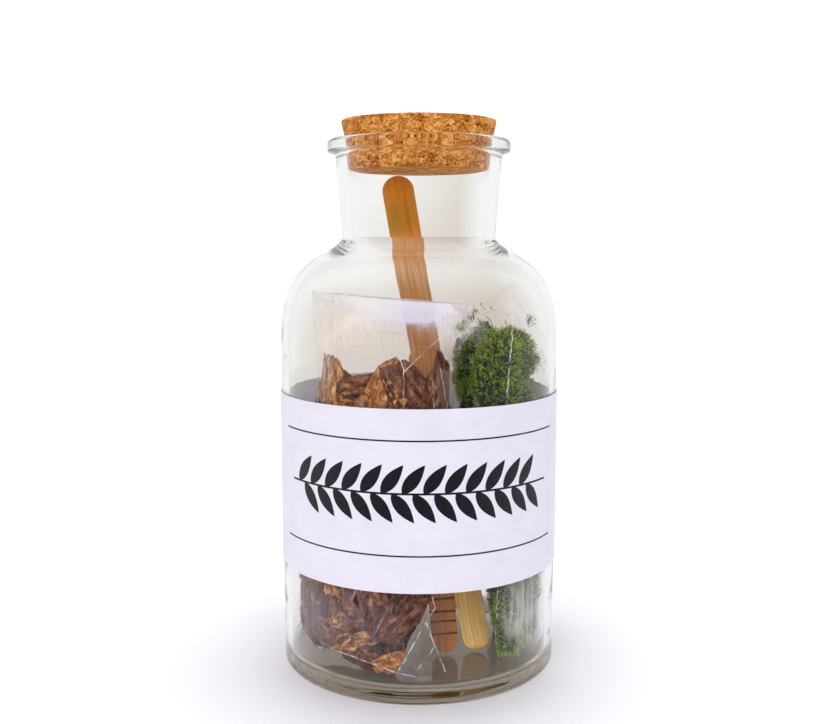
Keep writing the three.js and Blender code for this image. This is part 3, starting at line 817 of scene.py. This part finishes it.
def mark_grain(bm):
    """Keeps the flat outline in mm as a UV map in metres, along X."""
    uv = bm.loops.layers.uv.new("grain")
    offset = bm.verts[:][0].co.x
    for face in bm.faces:
        for loop in face.loops:
            co = loop.vert.co
            loop[uv].uv = ((co.x + offset) * MM, (co.y * 0.7 + co.z) * MM)


def facing(outward, spin):
    """A turn that lays a slab's flat side to the outside and spins it."""
    turn = Vector((0, 0, 1)).rotation_difference(outward)
    return turn.to_matrix().to_4x4() @ Matrix.Rotation(spin, 4, "Z")


CHIP_ROWS = 8
CHIPS_IN_ROW = 11
PILE_FOOT = 9.0
PILE_TOP = 100.0
CHIPS_REACH = 113.0  # no chip stands higher than this
EMPTY_CORNER_X = -7.3  # the bark's right edge at EMPTY_CORNER_Z, in mm
EMPTY_CORNER_Z = 11.5
EMPTY_CORNER_SLOPE = 0.45
EMPTY_CORNER_TOP = 42.0

rng = random.Random(20260)
chips = bmesh.new()
tint_layer = chips.verts.layers.float.new("tint")
chips.loops.layers.uv.new("grain")


def short_of_corner(point):
    """Moves a point out of the bag's lower right corner, which the bark leaves empty."""
    limit = (EMPTY_CORNER_X + EMPTY_CORNER_SLOPE * (point.z / MM - EMPTY_CORNER_Z)) * MM
    if point.z < EMPTY_CORNER_TOP * MM and point.x > limit:
        return Vector((limit - 0.1 * (point.x - limit), point.y, point.z))
    return point


def lay_chip(spot, outward, spin, size, tint_value, reach=CHIPS_REACH):
    """Lays one chip in the bark bag, inside its film and under reach mm."""
    slab = chip(rng, *size)
    mark_grain(slab)
    bmesh.ops.transform(slab, matrix=Matrix.Scale(MM, 4) @ facing(outward, spin), verts=slab.verts)
    bmesh.ops.translate(slab, verts=slab.verts, vec=spot)
    too_high = max(0, max(vert.co.z for vert in slab.verts) - reach * MM)
    bmesh.ops.translate(slab, verts=slab.verts, vec=(0, 0, -too_high))
    for vert in slab.verts:
        vert.co = bark_room.hold(short_of_corner(vert.co), 0.5 * MM)
    gather(chips, slab, tint_value, tint_layer)
    slab.free()


for row in range(CHIP_ROWS):
    for i in range(CHIPS_IN_ROW):
        z = (PILE_FOOT + (PILE_TOP - PILE_FOOT) * (row + rng.random()) / CHIP_ROWS) * MM
        angle = 2 * math.pi * (i + rng.random()) / CHIPS_IN_ROW
        far = bark_room.reach(z, angle)
        if not far:
            continue
        size = (rng.uniform(16, 30), rng.uniform(8, 14), rng.uniform(4, 7))
        inward = rng.uniform(2.5, 5.0) * MM
        direction = Vector((math.cos(angle), math.sin(angle), 0))
        spot = bark_room.centre(z) + direction * max(0, far - inward)
        lean = Vector([rng.uniform(-0.35, 0.35) for _ in range(3)])
        lay_chip(spot, (direction + lean).normalized(), rng.uniform(0, math.pi), size, rng.random() ** 2)

# Chips that show at the front: (pixel, degrees from upright, (length, width, depth), tint).
FRONT_CHIPS = {
    "standing slab": ((331, 390), 4, (23, 8, 6), 1.0),
    "red chip": ((357, 386), 80, (14, 6, 4), 0.5),
    "golden chip": ((385, 388), 30, (25, 13, 6), 0.9),
    "dark chip": ((412, 398), -30, (24, 13, 6), 0.2),
    "dark slab": ((438, 400), 8, (20, 9, 5), 0.3),
    "tan flake": ((344, 622), 76, (13, 5, 4), 0.75),
    "long tan flake": ((356, 643), 82, (18, 6, 4), 0.85),
    "low tan flake": ((392, 662), 64, (12, 5, 4), 0.8),
    "low slab": ((398, 618), 50, (22, 12, 5), 0.3),
    "left slab": ((312, 612), 20, (20, 10, 5), 0.25),
}
CHIP_DEPTH = 3.0  # how far behind the film the middle of such a chip lies
FRONT_REACH = 119.0
for pixel, lean, size, tint_value in FRONT_CHIPS.values():
    spot = bark_room.seen(pixel) + Vector((0, CHIP_DEPTH, 0)) * MM
    lay_chip(spot, Vector((0, -1, 0.1)), math.radians(90 - lean), size, tint_value, FRONT_REACH)

crumb = shrunk_copy("bark_pile", 1.4, 2, 1.2, 3)
for vert in crumb.verts:
    vert.co = short_of_corner(vert.co)
uv = crumb.loops.layers.uv.new("grain")
for face in crumb.faces:
    for loop in face.loops:
        loop[uv].uv = (loop.vert.co.z, loop.vert.co.x + loop.vert.co.y)
crumb.verts.layers.float.new("tint")
finish_piece("bark_crumb", crumb, [bark])
chips.normal_update()
finish_piece("bark_chips", chips, [bark], ["bark_pile"], crease_angle=40)

# %% [markdown]
# ## Moss
# The moss is a springy mat of short leafy stems, bright green at the growing tips. Each stem is painted
# darker towards its root, as the shade deep in the mat. The imported clump, shrunk, is the mat inside,
# dark by the same painted shade. One stem is modelled with about twenty faces and repeated over the
# clump, each with its own lean, size and tint.

# %% Moss materials
moss, nodes, surface = new_material("moss")
place = nodes.add("ShaderNodeTexCoord").outputs["Object"]
tint = nodes.add("ShaderNodeAttribute", {"attribute_name": "tint"}).outputs["Fac"]
up_stem = nodes.add("ShaderNodeAttribute", {"attribute_name": "up"}).outputs["Fac"]
patch = nodes.noise(place, 12, detail=3.0)
shade = nodes.math("ADD", nodes.math("MULTIPLY", tint, 0.45), nodes.math("MULTIPLY", patch, 0.6))
moss_colour = nodes.ramp(
    shade,
    [
        (0.25, (56, 122, 4)),
        (0.42, (116, 172, 6)),
        (0.55, (156, 192, 10)),
        (0.7, (200, 212, 30)),
        (0.85, (214, 178, 60)),
    ],
)
# Painted shade: each stem darkens towards its root; the mat inside, with no up value, is darkest.
shaded = nodes.ramp(up_stem, [(0.25, 0.16), (0.9, 1.0)])
moss_colour = nodes.blend(1.0, moss_colour, shaded, "MULTIPLY")
moss_shader = nodes.principled(
    Specular_IOR_Level=0.08,
    Base_Color=moss_colour,
    Roughness=0.7,
    Normal=nodes.bump(nodes.noise(place, 0.6), 0.2),
)
nodes.feed(surface, moss_shader)


# %% Moss stems
def stem_template():
    """A moss stem 1 mm tall: a thin stalk with small pointed leaves up it and a tuft at its tip."""
    bm = bmesh.new()
    bmesh.ops.create_cone(bm, segments=3, radius1=0.05, radius2=0.02, depth=1.0)
    bmesh.ops.translate(bm, verts=bm.verts, vec=(0, 0, 0.5))
    leaves = 8
    for i in range(leaves):
        share = i / (leaves - 1)
        blade = bmesh.ops.create_grid(bm, x_segments=2, y_segments=1, size=0.5)["verts"]
        for vert in blade:
            t = vert.co.x + 0.5
            half = 0.055 if abs(t - 0.5) < 0.1 else 0.008
            vert.co = Vector((t * 0.22, vert.co.y * 2 * half, 0.04 * math.sin(t * math.pi)))
        lift = Matrix.Rotation(math.radians(-30 - 45 * share), 4, "Y")
        place = Matrix.Translation((0, 0, 0.3 + 0.66 * share))
        bmesh.ops.transform(bm, matrix=place @ Matrix.Rotation(i * 2.4, 4, "Z") @ lift, verts=blade)
    mesh = bpy.data.meshes.new("moss_stem")
    bm.to_mesh(mesh)
    bm.free()
    up = mesh.attributes.new("up", "FLOAT", "POINT")
    up.data.foreach_set("value", [vert.co.z for vert in mesh.vertices])
    mesh.attributes.new("tint", "FLOAT", "POINT")
    return mesh


def stems_on(face, rng, area, owed):
    """Random roots on a face, one to each area in mm2, and what is owed to the next face."""
    owed += face.calc_area() / MM**2 / area
    roots = []
    while owed > 1:
        owed -= 1
        a, b = sorted((rng.random(), rng.random()))
        corners = [vert.co for vert in face.verts]
        roots.append(corners[0] * a + corners[1] * (b - a) + corners[2] * (1 - b))
    return roots, owed


STEM_AREA = 1.0  # mm2 of the clump to each stem
STEM_LENGTH = (2.0, 3.4)
MOSS_PIECES = 5
STEM_ROOT = 2.2  # how deep a stem starts under the clump's surface

rng = random.Random(711)
template = stem_template()
clump = bmesh.new()
clump.from_mesh(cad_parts["moss_clump"].data)
bmesh.ops.remove_doubles(clump, verts=clump.verts, dist=0.02 * MM)
bmesh.ops.triangulate(clump, faces=clump.faces)
clump.normal_update()
mats = [bmesh.new() for _ in range(MOSS_PIECES)]
stems = 0
owed = 0.0
for face in clump.faces:
    roots, owed = stems_on(face, rng, STEM_AREA, owed)
    for root in roots:
        lean = Vector([rng.uniform(-0.8, 0.8) for _ in range(3)])
        direction = (face.normal + lean + Vector((0, 0, 0.3))).normalized()
        length = rng.uniform(*STEM_LENGTH) * MM
        root = root - face.normal * STEM_ROOT * MM
        tip = root + direction * length
        root += moss_room.hold(tip, 0.8 * MM) - tip
        fat = length * rng.uniform(0.8, 1.15)
        stand = Vector((0, 0, 1)).rotation_difference(direction).to_matrix().to_4x4()
        stand = Matrix.Translation(root) @ stand @ Matrix.Rotation(rng.uniform(0, 6.28), 4, "Z")
        stem = template.copy()
        stem.transform(stand @ Matrix.Diagonal((fat, fat, length, 1)))
        tint_value = rng.random()
        stem.attributes["tint"].data.foreach_set("value", [tint_value] * len(stem.vertices))
        mats[stems % len(mats)].from_mesh(stem, face_normals=False, vertex_normals=False)
        bpy.data.meshes.remove(stem)
        stems += 1
clump.free()
print("moss stems:", stems)
for number, mat in enumerate(mats):
    mat.normal_update()
    stands_for = ["moss_clump"] if number == 0 else []
    finish_piece(f"moss_stems_{number + 1}", mat, [moss], stands_for)
core = shrunk_copy("moss_clump", 2.2, 1, 1.0, 8)
finish_piece("moss_mat", core, [moss])

# %% [markdown]
# ## The clear bags
# The film is much thinner than its solid, so it bends no light: it only shines, and looks hazy where it
# is creased, doubled or seen edge-on. Its whiter share edge-on is a painted sheen, and thin white lines
# along small folds are painted glints. It is a sheet wrapped round the room of its bag. Its wrinkles are
# small moves of the sheet towards the filling.

# %% Film material
film, nodes, surface = new_material("clear_film")
place = nodes.add("ShaderNodeTexCoord").outputs["Object"]
veil = nodes.add("ShaderNodeAttribute", {"attribute_name": "veil"}).outputs
crumple = nodes.noise(nodes.at(place, scale=(1, 1, 0.5)), 8, detail=3.0, roughness=0.55, distortion=0.8)
streaks = nodes.noise(nodes.at(place, scale=(1, 1, 0.06)), 1.6, detail=3.0)
normal = nodes.bump(nodes.math("ADD", crumple, nodes.math("MULTIPLY", streaks, 0.12)), 1.4)
# Painted sheen: the film turns whiter where it is seen edge-on.
rim = nodes.math("POWER", nodes.add("ShaderNodeLayerWeight", Blend=0.25).outputs["Facing"], 3.0)
stretch = nodes.math("ADD", nodes.math("MULTIPLY", crumple, 0.8), nodes.math("MULTIPLY", streaks, 0.9))
haze = nodes.math("MULTIPLY", veil["Alpha"], nodes.ramp(stretch, [(0.7, 0.3), (0.98, 1.0)]))
doubled = nodes.math("MULTIPLY", nodes.math("SUBTRACT", veil["Alpha"], 0.55), 2.2, clamp=True)
haze = nodes.math("MAXIMUM", haze, doubled)
creased = nodes.at(place, scale=(1, 1, 0.45))
# Painted glints: thin white lines along the edges of small crumple facets.
facets = nodes.add("ShaderNodeTexVoronoi", {"feature": "DISTANCE_TO_EDGE"}, Vector=creased, Scale=70.0)
small_fold_glints = nodes.ramp(facets.outputs["Distance"], [(0.0, 0.35), (0.03, 0.0)])
kept_fold = nodes.ramp(nodes.noise(place, 9, detail=3.0), [(0.5, 0.0), (0.66, 1.0)])
small_fold_glints = nodes.math("MULTIPLY", small_fold_glints, kept_fold)
share = nodes.math("ADD", nodes.math("MULTIPLY", rim, 0.06), haze, clamp=True)
share = nodes.math("MAXIMUM", nodes.math("MAXIMUM", share, small_fold_glints), 0.004)
milky = nodes.principled(Base_Color=veil["Color"], Roughness=0.22, Normal=normal)
see_through = nodes.add("ShaderNodeBsdfTransparent", Color=(0.985, 0.98, 0.985, 1)).outputs[0]
nodes.feed(surface, nodes.mix_shaders(share, see_through, milky))


# %% Veils on the film
# Veil tones: shaded and bark are painted shade; milky, cream and violet also paint highlights.
FILM_TONES = {
    "clear": (226, 220, 226),
    "milky": (240, 234, 233),
    "cream": (244, 227, 208),
    "violet": (222, 216, 234),
    "shaded": (148, 128, 106),
    "bark": (84, 57, 50),
}
# Where the film is doubled or pressed together, and looks milky. The white, cream and lavender patches
# are also painted highlights and reflections, and the tones shaded and bark are painted shade, dark where
# the bark behind the film lies in shade: (pixel, (half width, half height), strength, tone).
BARK_VEILS = {
    "left of the mouth": ((336, 326), (24, 18), 0.8, "cream"),
    "under the mouth": ((370, 316), (22, 14), 0.7, "milky"),
    "over the long stick": ((416, 312), (28, 14), 1.5, "violet"),
    "right of the mouth": ((464, 328), (26, 17), 0.5, "milky"),
    "left side": ((326, 352), (8, 46), 0.35, "milky"),
    "right side": ((448, 374), (8, 36), 0.55, "shaded"),
    "middle": ((375, 350), (40, 20), 0.2, "cream"),
    "low left": ((300, 612), (22, 30), 0.25, "violet"),
    "low middle": ((360, 625), (44, 34), 0.12, "violet"),
    "corner flap": ((427, 648), (15, 30), 0.72, "bark"),
}
# Milky patches on the moss film: partly doubled film, partly painted highlights.
MOSS_VEILS = {
    "peak": ((513, 299), (20, 20), 0.6, "milky"),
    "right of the peak": ((541, 316), (10, 10), 0.4, "milky"),
    "left side": ((472, 326), (12, 14), 0.35, "milky"),
    "low middle": ((516, 610), (14, 34), 0.5, "milky"),
    "low right": ((545, 612), (15, 40), 1.1, "milky"),
}
VEIL_WHOLE = -0.5  # a veil is whole where the Y of the film's outward direction is under this,
VEIL_GONE = 0.1  # and gone where it is over this
VEIL_EDGE = 2.5  # the higher, the sharper a veil's edge
CLEAR_SHARE = 0.02  # the strength of the plain film between the veils
MOST_VEIL = 0.95


def to_pixel(point):
    """The pixel of the picture that a point shows at."""
    seen = camera.rotation_euler.to_matrix().inverted() @ (point - CAMERA_PLACE)
    scale = LENS / SENSOR_WIDTH * IMAGE_WIDTH / -seen.z
    return IMAGE_WIDTH / 2 + seen.x * scale, IMAGE_HEIGHT / 2 - seen.y * scale


def veil_at(spot, outward, veils, band):
    """The veil's colour and strength at a spot of a sheet: veils fade round its sides, a band doesn't."""
    total, colour = CLEAR_SHARE, Vector(rgba(FILM_TONES["clear"])[:3]) * CLEAR_SHARE
    to_front = min(1, max(0, (VEIL_GONE - outward.y) / (VEIL_GONE - VEIL_WHOLE)))
    if to_front:
        x, y = to_pixel(spot)
        for (px, py), (half_x, half_y), strength, tone in veils.values():
            away = abs((x - px) / half_x) ** VEIL_EDGE + abs((y - py) / half_y) ** VEIL_EDGE
            weight = strength * to_front * math.exp(-away)
            total += weight
            colour += Vector(rgba(FILM_TONES[tone])[:3]) * weight
    total += band
    colour += Vector(rgba(FILM_TONES["milky"])[:3]) * band
    return (*(colour / total), min(total, MOST_VEIL))


# %% Bag sheets
SHEET_COLUMNS, SHEET_ROWS = 220, 170
SHEET_PROUD = 0.35
WRINKLE_DEPTH = 0.5
FOLD_DEPTH = 3  # of the broad folds where a sheet is loose
LOOSENING = 12  # the height over which it comes loose
MOUTH_HELD = 5  # the height under its mouth over which it is taut again
FOOT_HEIGHT = 12  # the edges of its open foot lie lower than this
BAND_VEIL = 0.85


def bag_sheet(name, room, node, veils, band_height, filled_to, seed):
    """A sheet wrapped round a room: taut over its filling, and loose from filled_to mm up."""
    bm = bmesh.new()
    veil_layer = bm.verts.layers.float_color.new("veil")
    grid = bmesh.ops.create_grid(bm, x_segments=SHEET_COLUMNS, y_segments=SHEET_ROWS, size=0.5)["verts"]
    low, high = room.bottom + 1.2 * MM, room.top - 0.4 * MM
    shift = Vector((seed, 0, seed * 0.3))
    for vert in grid:
        angle = (vert.co.x + 0.5) * 2 * math.pi
        z = low + (high - low) * (vert.co.y + 0.5)
        far = room.reach(z, angle) or 1 * MM
        direction = Vector((math.cos(angle), math.sin(angle), 0))
        spot = room.centre(z) + direction * far
        at = Vector((spot.x, spot.y, spot.z * 0.4)) / MM
        wrinkle = noise.fractal(at * 0.14 + shift, 0.8, 2.0, 4)
        broad_fold = noise.noise(at * 0.07 + shift)
        loose = min(1, max(0, (z / MM - filled_to) / LOOSENING))
        loose *= min(1, max(0, (high - z) / (MOUTH_HELD * MM)))
        slack = loose * (WRINKLE_DEPTH * abs(wrinkle) + FOLD_DEPTH * abs(broad_fold))
        spot += direction * (SHEET_PROUD - WRINKLE_DEPTH * abs(wrinkle) - slack) * MM
        vert.co = spot + Vector((0, 0, room.lift(spot)))
        band = BAND_VEIL * min(1, max(0, 1.6 - (high - z) / (band_height * MM))) if band_height else 0
        vert[veil_layer] = veil_at(vert.co, direction, veils, band)
    bmesh.ops.remove_doubles(bm, verts=bm.verts, dist=0.02 * MM)
    foot = [edge for edge in bm.edges if edge.is_boundary and edge.verts[0].co.z < low + FOOT_HEIGHT * MM]
    bmesh.ops.contextual_create(bm, geom=foot)
    bmesh.ops.recalc_face_normals(bm, faces=bm.faces)
    return finish_piece(name, bm, [film], [node])


bark_film = bag_sheet(
    "bark_film", bark_room, "bark_bag", BARK_VEILS, band_height=2.6, filled_to=BARK_MOUTH_START, seed=11
)
moss_film = bag_sheet(
    "moss_film", moss_room, "moss_bag", MOSS_VEILS, band_height=0, filled_to=118, seed=47
)

# %% [markdown]
# ## Creases in the film
# A sharp fold in clear film shows as a thin bright line, because it is doubled there and catches light
# from every side. Each fold is a narrow ribbon that lies on its sheet, white in uneven stretches: partly
# the doubled film and partly a painted highlight along the fold. It is given by the pixels it runs
# through, and the line of sight through each pixel is followed to the film.

# %% Folded film material
fold, nodes, surface = new_material("folded_film")
place = nodes.add("ShaderNodeTexCoord").outputs["Object"]
# Painted highlight: the ribbon is white in uneven stretches along each fold.
ribbon_glints = nodes.ramp(nodes.noise(place, 3.0, detail=3.0), [(0.38, 0.06), (0.64, 0.65)])
shine = nodes.principled(Base_Color=(0.93, 0.9, 0.9, 1), Roughness=0.25)
through = nodes.add("ShaderNodeBsdfTransparent", Color=(0.95, 0.95, 0.95, 1)).outputs[0]
nodes.feed(surface, nodes.mix_shaders(ribbon_glints, through, shine))


# %% Creases
def on_sheet(tree, pixel):
    """Where the line of sight through a pixel meets a sheet."""
    return tree.ray_cast(CAMERA_PLACE, ray_through(pixel))[0]


def crease(bm, tree, pixels, width):
    """A ribbon width mm wide along a row of pixels, with a raised middle."""
    spots = []
    for a, b in zip(pixels, pixels[1:]):
        steps = max(2, int(math.dist(a, b) / 3))
        for i in range(steps):
            share = i / steps
            wobble = noise.noise(Vector((a[0] + share * 7, a[1], 0))) * 1.8
            pixel = (a[0] + (b[0] - a[0]) * share + wobble, a[1] + (b[1] - a[1]) * share)
            spots.append(on_sheet(tree, pixel))
    spots.append(on_sheet(tree, pixels[-1]))
    spots = [spot for spot in spots if spot]
    if len(spots) < 2:
        return
    to_camera = (CAMERA_PLACE - spots[0]).normalized()
    side = (spots[-1] - spots[0]).cross(to_camera).normalized() * width / 2 * MM
    verts, edges = chain(bm, [spot + to_camera * 0.12 * MM for spot in spots])
    for way in (1, -1):
        made = bmesh.ops.extrude_edge_only(bm, edges=edges)["geom"]
        edge_verts = [item for item in made if isinstance(item, bmesh.types.BMVert)]
        bmesh.ops.translate(bm, verts=edge_verts, vec=side * way - to_camera * 0.1 * MM)


# Each fold: (width in mm, the pixels that it runs through).
BARK_CREASES = {
    "corner, left edge": (0.4, [(432, 595), (435, 607), (426, 621), (399, 670)]),
    "corner, right edge": (0.45, [(426, 621), (435, 646), (450, 683)]),
    "corner, inner fold": (0.3, [(434, 646), (416, 671)]),
    "bottom seam": (0.35, [(332, 647), (398, 672), (450, 683)]),
    "fold under the label": (0.3, [(344, 599), (349, 592)]),
    "long upright": (0.35, [(401, 357), (404, 372), (404, 412)]),
    "slanting": (0.3, [(454, 330), (437, 340), (420, 356), (404, 372)]),
    "right upright": (0.25, [(432, 375), (434, 412)]),
    "far right upright": (0.25, [(440, 368), (443, 385), (448, 412)]),
    "fan, first": (0.25, [(306, 300), (318, 318), (324, 350)]),
    "fan, second": (0.25, [(330, 296), (340, 316), (372, 336)]),
    "fan, third": (0.25, [(458, 306), (470, 322), (494, 328)]),
}
MOSS_CREASES = {
    "seam": (0.4, [(512, 278), (512, 305), (511, 330), (507, 370), (504, 412)]),
    "peak, left edge": (0.35, [(512, 278), (498, 292), (488, 310), (482, 332)]),
    "peak, right edge": (0.3, [(512, 278), (526, 292), (540, 308), (546, 330)]),
    "low seam": (0.3, [(496, 588), (495, 625), (490, 665)]),
    "low cross fold": (0.25, [(495, 607), (512, 613)]),
}


def creases(name, sheet, lines):
    """All the folds of one sheet, as one piece that lies on it."""
    tree_source = bmesh.new()
    tree_source.from_mesh(sheet.data)
    tree = BVHTree.FromBMesh(tree_source)
    tree_source.free()
    bm = bmesh.new()
    for width, pixels in lines.values():
        crease(bm, tree, pixels, width)
    return finish_piece(name, bm, [fold])


creases("bark_film_creases", bark_film, BARK_CREASES)
creases("moss_film_creases", moss_film, MOSS_CREASES)

# %% [markdown]
# ## Studio
# The jar stands on a plain white table that fades into a white surround. The surround lights the
# pieces evenly. Glass mirrors a darker room in front of it, as a photographer's dark card would give,
# so that the bark stays dark behind it. What the glass bends is a pale horizon, a little darker at the
# right and white at the sides. Two lamps from the front bring the sticks and the bark out, and a wide
# one hangs above.

# %% Studio
table, nodes, surface = new_material("studio_table")
place = nodes.add("ShaderNodeTexCoord").outputs["Object"]
table_tone = nodes.ramp(nodes.noise(place, 60), [(0.3, (246, 245, 249)), (0.7, (250, 249, 252))])
table_shader = nodes.principled(Base_Color=table_tone, Roughness=0.6)
from_jar = nodes.add("ShaderNodeVectorMath", {"operation": "LENGTH"})
nodes.feed(from_jar.inputs[0], place)
fade = nodes.ramp(from_jar.outputs["Value"], [(0.055, 0.0), (0.17, 1.0)])
beyond = nodes.add("ShaderNodeBsdfTransparent").outputs[0]
nodes.feed(surface, nodes.mix_shaders(fade, table_shader, beyond))

bm = bmesh.new()
bmesh.ops.create_circle(bm, cap_ends=True, radius=0.18, segments=96)
bmesh.ops.translate(bm, verts=bm.verts, vec=(0, 0, -0.05 * MM))
mesh = bpy.data.meshes.new("studio_floor")
bm.to_mesh(mesh)
bm.free()
mesh.materials.append(table)
floor = bpy.data.objects.new("studio_floor", mesh)
scene.collection.objects.link(floor)

world = bpy.data.worlds.new("studio_world")
world.use_nodes = True
world.node_tree.nodes.clear()
nodes = Nodes(world.node_tree)
direction = nodes.add("ShaderNodeTexCoord").outputs["Generated"]
way = nodes.add("ShaderNodeSeparateXYZ", Vector=direction).outputs
depth = nodes.math("ADD", nodes.math("MULTIPLY", way["Y"], 0.5), 0.5)
height = nodes.math("ADD", nodes.math("MULTIPLY", way["Z"], 0.5), 0.5)
overhead = nodes.ramp(way["Z"], [(0.15, 0.0), (0.7, 1.0)])
lit_by = nodes.ramp(depth, [(0.02, (196, 194, 200)), (0.45, (250, 247, 250))])
lit_by = nodes.blend(overhead, lit_by, (0.82, 0.82, 0.85, 1))
mirrored = nodes.ramp(depth, [(0.02, (66, 64, 70)), (0.2, (120, 116, 126)), (0.45, (250, 248, 250))])
through_glass = nodes.ramp(
    height,
    [
        (0.3, (168, 158, 150)),
        (0.4, (214, 205, 198)),
        (0.47, (228, 219, 212)),
        (0.54, (251, 250, 249)),
    ],
)
across = nodes.math("ADD", nodes.math("MULTIPLY", way["X"], 0.5), 0.5)
white = (255, 255, 255)
right_shade = nodes.ramp(across, [(0.47, white), (0.55, (236, 231, 227)), (0.64, white)])
through_glass = nodes.blend(1.0, through_glass, right_shade, "MULTIPLY")
sideways = nodes.ramp(nodes.math("ABSOLUTE", way["X"]), [(0.12, 0.0), (0.32, 0.85)])
through_glass = nodes.blend(sideways, through_glass, rgba((246, 246, 248)))
ray = nodes.add("ShaderNodeLightPath").outputs
around = nodes.add("ShaderNodeBackground", Color=lit_by, Strength=1.0).outputs[0]
for kind, colour, strength in (
    ("Is Glossy Ray", mirrored, 1.0),
    ("Is Transmission Ray", through_glass, 1.0),
    ("Is Camera Ray", (1, 1, 1, 1), 1.2),
):
    shown = nodes.add("ShaderNodeBackground", Color=colour, Strength=strength).outputs[0]
    around = nodes.mix_shaders(ray[kind], around, shown)
output = nodes.add("ShaderNodeOutputWorld")
nodes.feed(output.inputs["Surface"], around)
scene.world = world


def softbox(name, place, size, power, colour=(1, 1, 1)):
    """A soft lamp that looks at the middle of the jar and leaves no square highlight in the glass."""
    data = bpy.data.lights.new(name, "AREA")
    data.shape = "RECTANGLE"
    data.size, data.size_y = size
    data.energy = power
    data.color = colour
    lamp = bpy.data.objects.new(name, data)
    lamp.location = place
    aim = Vector((0, 0, 0.1)) - lamp.location
    lamp.rotation_euler = aim.to_track_quat("-Z", "Y").to_euler()
    lamp.visible_glossy = False
    lamp.visible_transmission = False
    scene.collection.objects.link(lamp)


softbox("key_left", (-0.6, -1.0, 0.24), (0.6, 0.6), 3.4, (1.0, 0.98, 0.98))
softbox("fill_right", (0.55, -1.05, 0.18), (0.6, 0.6), 2.6, (0.96, 0.95, 1.0))
softbox("top", (0.1, 0.5, 1.4), (1.4, 1.4), 5)

scene.view_settings.view_transform = "Standard"
scene.cycles.max_bounces = 24
scene.cycles.glossy_bounces = 20
scene.cycles.transmission_bounces = 20
scene.cycles.transparent_max_bounces = 32
scene.cycles.caustics_reflective = False
scene.cycles.caustics_refractive = False
